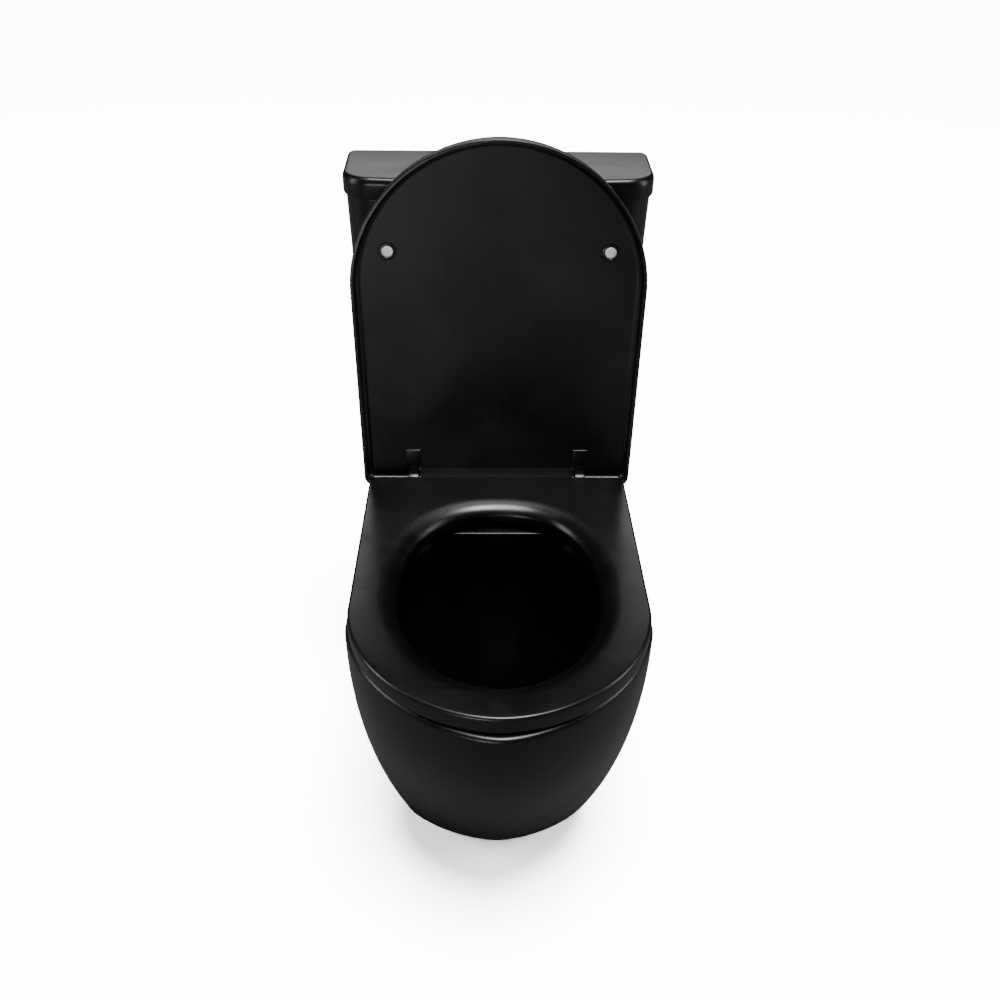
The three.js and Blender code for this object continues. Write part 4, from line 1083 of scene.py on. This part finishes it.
# ---- Hinge hardware, fixings and fittings ----
def fitted_washer(node, bore, edge, piece_name):
    """A ring or rod that fills a CAD node's box, with a bore and rounded edges."""
    low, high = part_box(node)
    radius = (high.x - low.x) / 2
    centre = ((low.x + high.x) / 2, (low.y + high.y) / 2, 0)
    upper = [(radius - w, z) for z, w in rounding(high.z, 0, edge, edge, 3)]
    lower = [(radius - w, z) for z, w in rounding(low.z, 0, edge, edge, 3, upwards=False)]
    return turned(piece_name, [(bore, low.z), *lower, *upper, (bore, high.z)], centre, 56)


class ToiletFixings(bpy.types.Operator):
    """Adds the hinge pins and their posts, the rubber washers and seals, and the caps over the floor fixings"""
    bl_idname = "toilet.fixings"
    bl_label = "Fixings"

    def execute(self, context):
        for side in ("left", "right"):
            low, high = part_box(f"skirt_cap_{side}")
            middle = ((low.y + high.y) / 2, (low.z + high.z) / 2)
            cap = rod(f"skirt_plug_{side}", (high.y - low.y) / 2, middle, (low.x, high.x), "X", edge=0.001)
            settle(cap, "base", "black_plastic", material("black_plastic"), f"skirt_cap_{side}")
            low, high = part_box(f"hinge_pin_{side}")
            pin = rod(f"hinge_rod_{side}", (high.z - low.z) / 2, (HINGE.y, HINGE.z),
                      (low.x, high.x), "X", edge=0.0006)
            settle(pin, "base", "stainless_steel", material("stainless_steel"), f"hinge_pin_{side}")
            self.post(side)
            ring = fitted_washer(f"coupling_washer_{side}", 0.0045, 0.0008, f"coupling_ring_{side}")
            settle(ring, "base", "black_rubber", material("black_rubber"), f"coupling_washer_{side}")
        for node, bore, name in (
            ("flush_valve_seal", 0.0315, "flush_valve_seal_ring"),
            ("fill_valve_washer", 0.0105, "fill_valve_seal_ring"),
        ):
            ring = fitted_washer(node, bore, 0.0006, name)
            settle(ring, "base", "black_rubber", material("black_rubber"), node)
        disc = fitted_washer("canister_washer", 0.008, 0.0008, "canister_seal_ring")
        settle(disc, "canister", "black_rubber", material("black_rubber"), "canister_washer")
        return {"FINISHED"}

    def post(self, side):
        """A hinge post: a rounded head round the pin on a neck that stands on the deck."""
        low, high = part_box(f"hinge_post_{side}")
        thick = (high.y - low.y) / 2
        post = rod(f"hinge_pillar_{side}", thick, (HINGE.y, HINGE.z), (low.x, high.x), "X", edge=0.0006)
        join(post, slab("neck", (low.x, high.x), (low.y, high.y), (low.z, HINGE.z), 0.0006))
        pin_low, pin_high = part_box(f"hinge_pin_{side}")
        bore = (pin_high.z - pin_low.z) / 2 + PIN_PLAY
        cut(post, rod("eye", bore, (HINGE.y, HINGE.z), (low.x - 0.002, high.x + 0.002), "X", sides=32))
        settle(post, "base", "stainless_steel", material("stainless_steel"), f"hinge_post_{side}")


class ToiletCarried(bpy.types.Operator):
    """Gives every fitting whose CAD shape stays its detailed material"""
    bl_idname = "toilet.carried"
    bl_label = "Fittings' finishes"

    def execute(self, context):
        for part in frame["record"]["subparts"]:
            node = frame["nodes"][part["node"]]
            if node.hide_render:
                continue
            node.data.materials.clear()
            node.data.materials.append(material(part["material_slot"]))
        return {"FINISHED"}


# ---- Stage ----
UNSEEN_FLOOR = (0.1, 0.1, 0.1, 1)    # what the toilet sees of the floor


class ToiletStage(bpy.types.Operator):
    """Adds the pale floor, soft lights and the camera"""
    bl_idname = "toilet.stage"
    bl_label = "Stage"

    def execute(self, context):
        studio = context.scene.toilet_studio
        bm = bmesh.new()
        bmesh.ops.create_grid(bm, x_segments=1, y_segments=1, size=14)
        floor = finished("floor", bm)
        floor.data.materials.append(self.paper(studio))
        self.surround(context, studio)
        self.sun(context, studio)
        self.lamp("back", (0, 2.6, 2.1), (0, 0, 0.8), (3.2, 1.2), studio.back)
        self.lamp("left", (-2.4, -0.3, 1.2), (0, 0, 0.5), (0.7, 2.0), studio.side)
        self.lamp("right", (2.4, -0.3, 1.2), (0, 0, 0.5), (0.7, 2.0), studio.side)
        self.lamp("front", (-0.9, -3.0, 0.6), (0, 0, 0.6), (0.8, 0.5), studio.front)
        self.camera(context, studio)
        return {"FINISHED"}

    def paper(self, studio):
        """Pale studio paper, which bounces less light back at the toilet than the camera sees."""
        paper = finish_material(
            "pale_floor", studio.floor, 0.9, 0.03, lift=0.01, bump=0.00005, grain=300, drift=2)
        nodes, links = paper.node_tree.nodes, paper.node_tree.links
        shader = nodes["Principled BSDF"]
        shader.inputs["Specular IOR Level"].default_value = 0
        path = nodes.new("ShaderNodeLightPath")
        seen = nodes.new("ShaderNodeMix")
        seen.data_type = "RGBA"
        seen.inputs["A"].default_value = UNSEEN_FLOOR
        pale = shader.inputs["Base Color"].links[0].from_socket
        gain = nodes.new("ShaderNodeVectorMath")
        gain.operation = "SCALE"
        gain.inputs["Scale"].default_value = studio.paper
        links.new(pale, gain.inputs[0])
        links.new(path.outputs["Is Camera Ray"], seen.inputs["Factor"])
        links.new(gain.outputs["Vector"], seen.inputs["B"])
        links.new(seen.outputs["Result"], shader.inputs["Base Color"])
        return paper

    def sun(self, context, studio):
        light = bpy.data.lights.new("key", "SUN")
        light.energy = studio.key
        light.angle = math.radians(26)
        key = bpy.data.objects.new("key", light)
        key.rotation_euler = Vector((-0.06, 0.16, -1)).to_track_quat("-Z", "Y").to_euler()
        context.scene.collection.objects.link(key)

    def surround(self, context, studio):
        world = bpy.data.worlds.new("pale_surround")
        world.use_nodes = True
        world.node_tree.nodes["Background"].inputs["Color"].default_value = (1, 1, 1, 1)
        world.node_tree.nodes["Background"].inputs["Strength"].default_value = studio.sky
        context.scene.world = world

    def lamp(self, name, place, target, size, power):
        light = bpy.data.lights.new(name, "AREA")
        light.shape = "RECTANGLE"
        light.size, light.size_y = size
        light.energy = power
        lamp = bpy.data.objects.new(name, light)
        lamp.location = place
        lamp.rotation_euler = (Vector(target) - Vector(place)).to_track_quat("-Z", "Y").to_euler()
        bpy.context.scene.collection.objects.link(lamp)

    def camera(self, context, studio):
        lens = bpy.data.cameras.new("camera")
        lens.sensor_width = 36
        lens.lens = studio.lens
        camera = bpy.data.objects.new("camera", lens)
        ahead = Vector((
            math.sin(studio.yaw) * math.cos(studio.pitch),
            math.cos(studio.yaw) * math.cos(studio.pitch),
            -math.sin(studio.pitch),
        ))
        level = Vector((math.cos(studio.yaw), -math.sin(studio.yaw), 0))
        above = level.cross(ahead)
        right = level * math.cos(studio.roll) + above * math.sin(studio.roll)
        up = above * math.cos(studio.roll) - level * math.sin(studio.roll)
        turn = Matrix((right, up, -ahead)).transposed()
        place = Matrix.Translation((studio.across, -studio.ahead, studio.height))
        camera.matrix_world = place @ turn.to_4x4()
        context.scene.collection.objects.link(camera)
        bpy.context.scene.camera = camera


class ToiletPanel(bpy.types.Panel):
    """Lists the pieces and their sizes in the sidebar"""
    bl_idname = "TOILET_PT_pieces"
    bl_label = "Toilet"
    bl_space_type = "VIEW_3D"
    bl_region_type = "UI"
    bl_category = "Toilet"

    def draw(self, context):
        for operator in OPERATORS:
            self.layout.operator(operator.bl_idname)
        for name in GROUPS:
            group = getattr(context.scene, name)
            box = self.layout.box()
            for size in group.bl_rna.properties.keys():
                if size not in ("rna_type", "name"):
                    box.prop(group, size)


OPERATORS = (
    ToiletStage, ToiletPan, ToiletFlushGuide, ToiletCistern, ToiletCisternLid, ToiletButtons,
    ToiletSeat, ToiletLid, ToiletFixings, ToiletCarried,
)
GROUPS = {
    "toilet_pan": ToiletPanSizes,
    "toilet_cistern": ToiletCisternSizes,
    "toilet_seat": ToiletSeatSizes,
    "toilet_finishes": ToiletFinishes,
    "toilet_studio": ToiletStudio,
}


def register():
    for kind in (*GROUPS.values(), *OPERATORS, ToiletPanel):
        bpy.utils.register_class(kind)
    for name, group in GROUPS.items():
        setattr(bpy.types.Scene, name, PointerProperty(type=group))


def unregister():
    for name in GROUPS:
        delattr(bpy.types.Scene, name)
    for kind in reversed((*GROUPS.values(), *OPERATORS, ToiletPanel)):
        bpy.utils.unregister_class(kind)


def main():
    register()
    for operator in OPERATORS:
        module, name = operator.bl_idname.split(".")
        getattr(getattr(bpy.ops, module), name)()


if __name__ == "__main__":
    main()
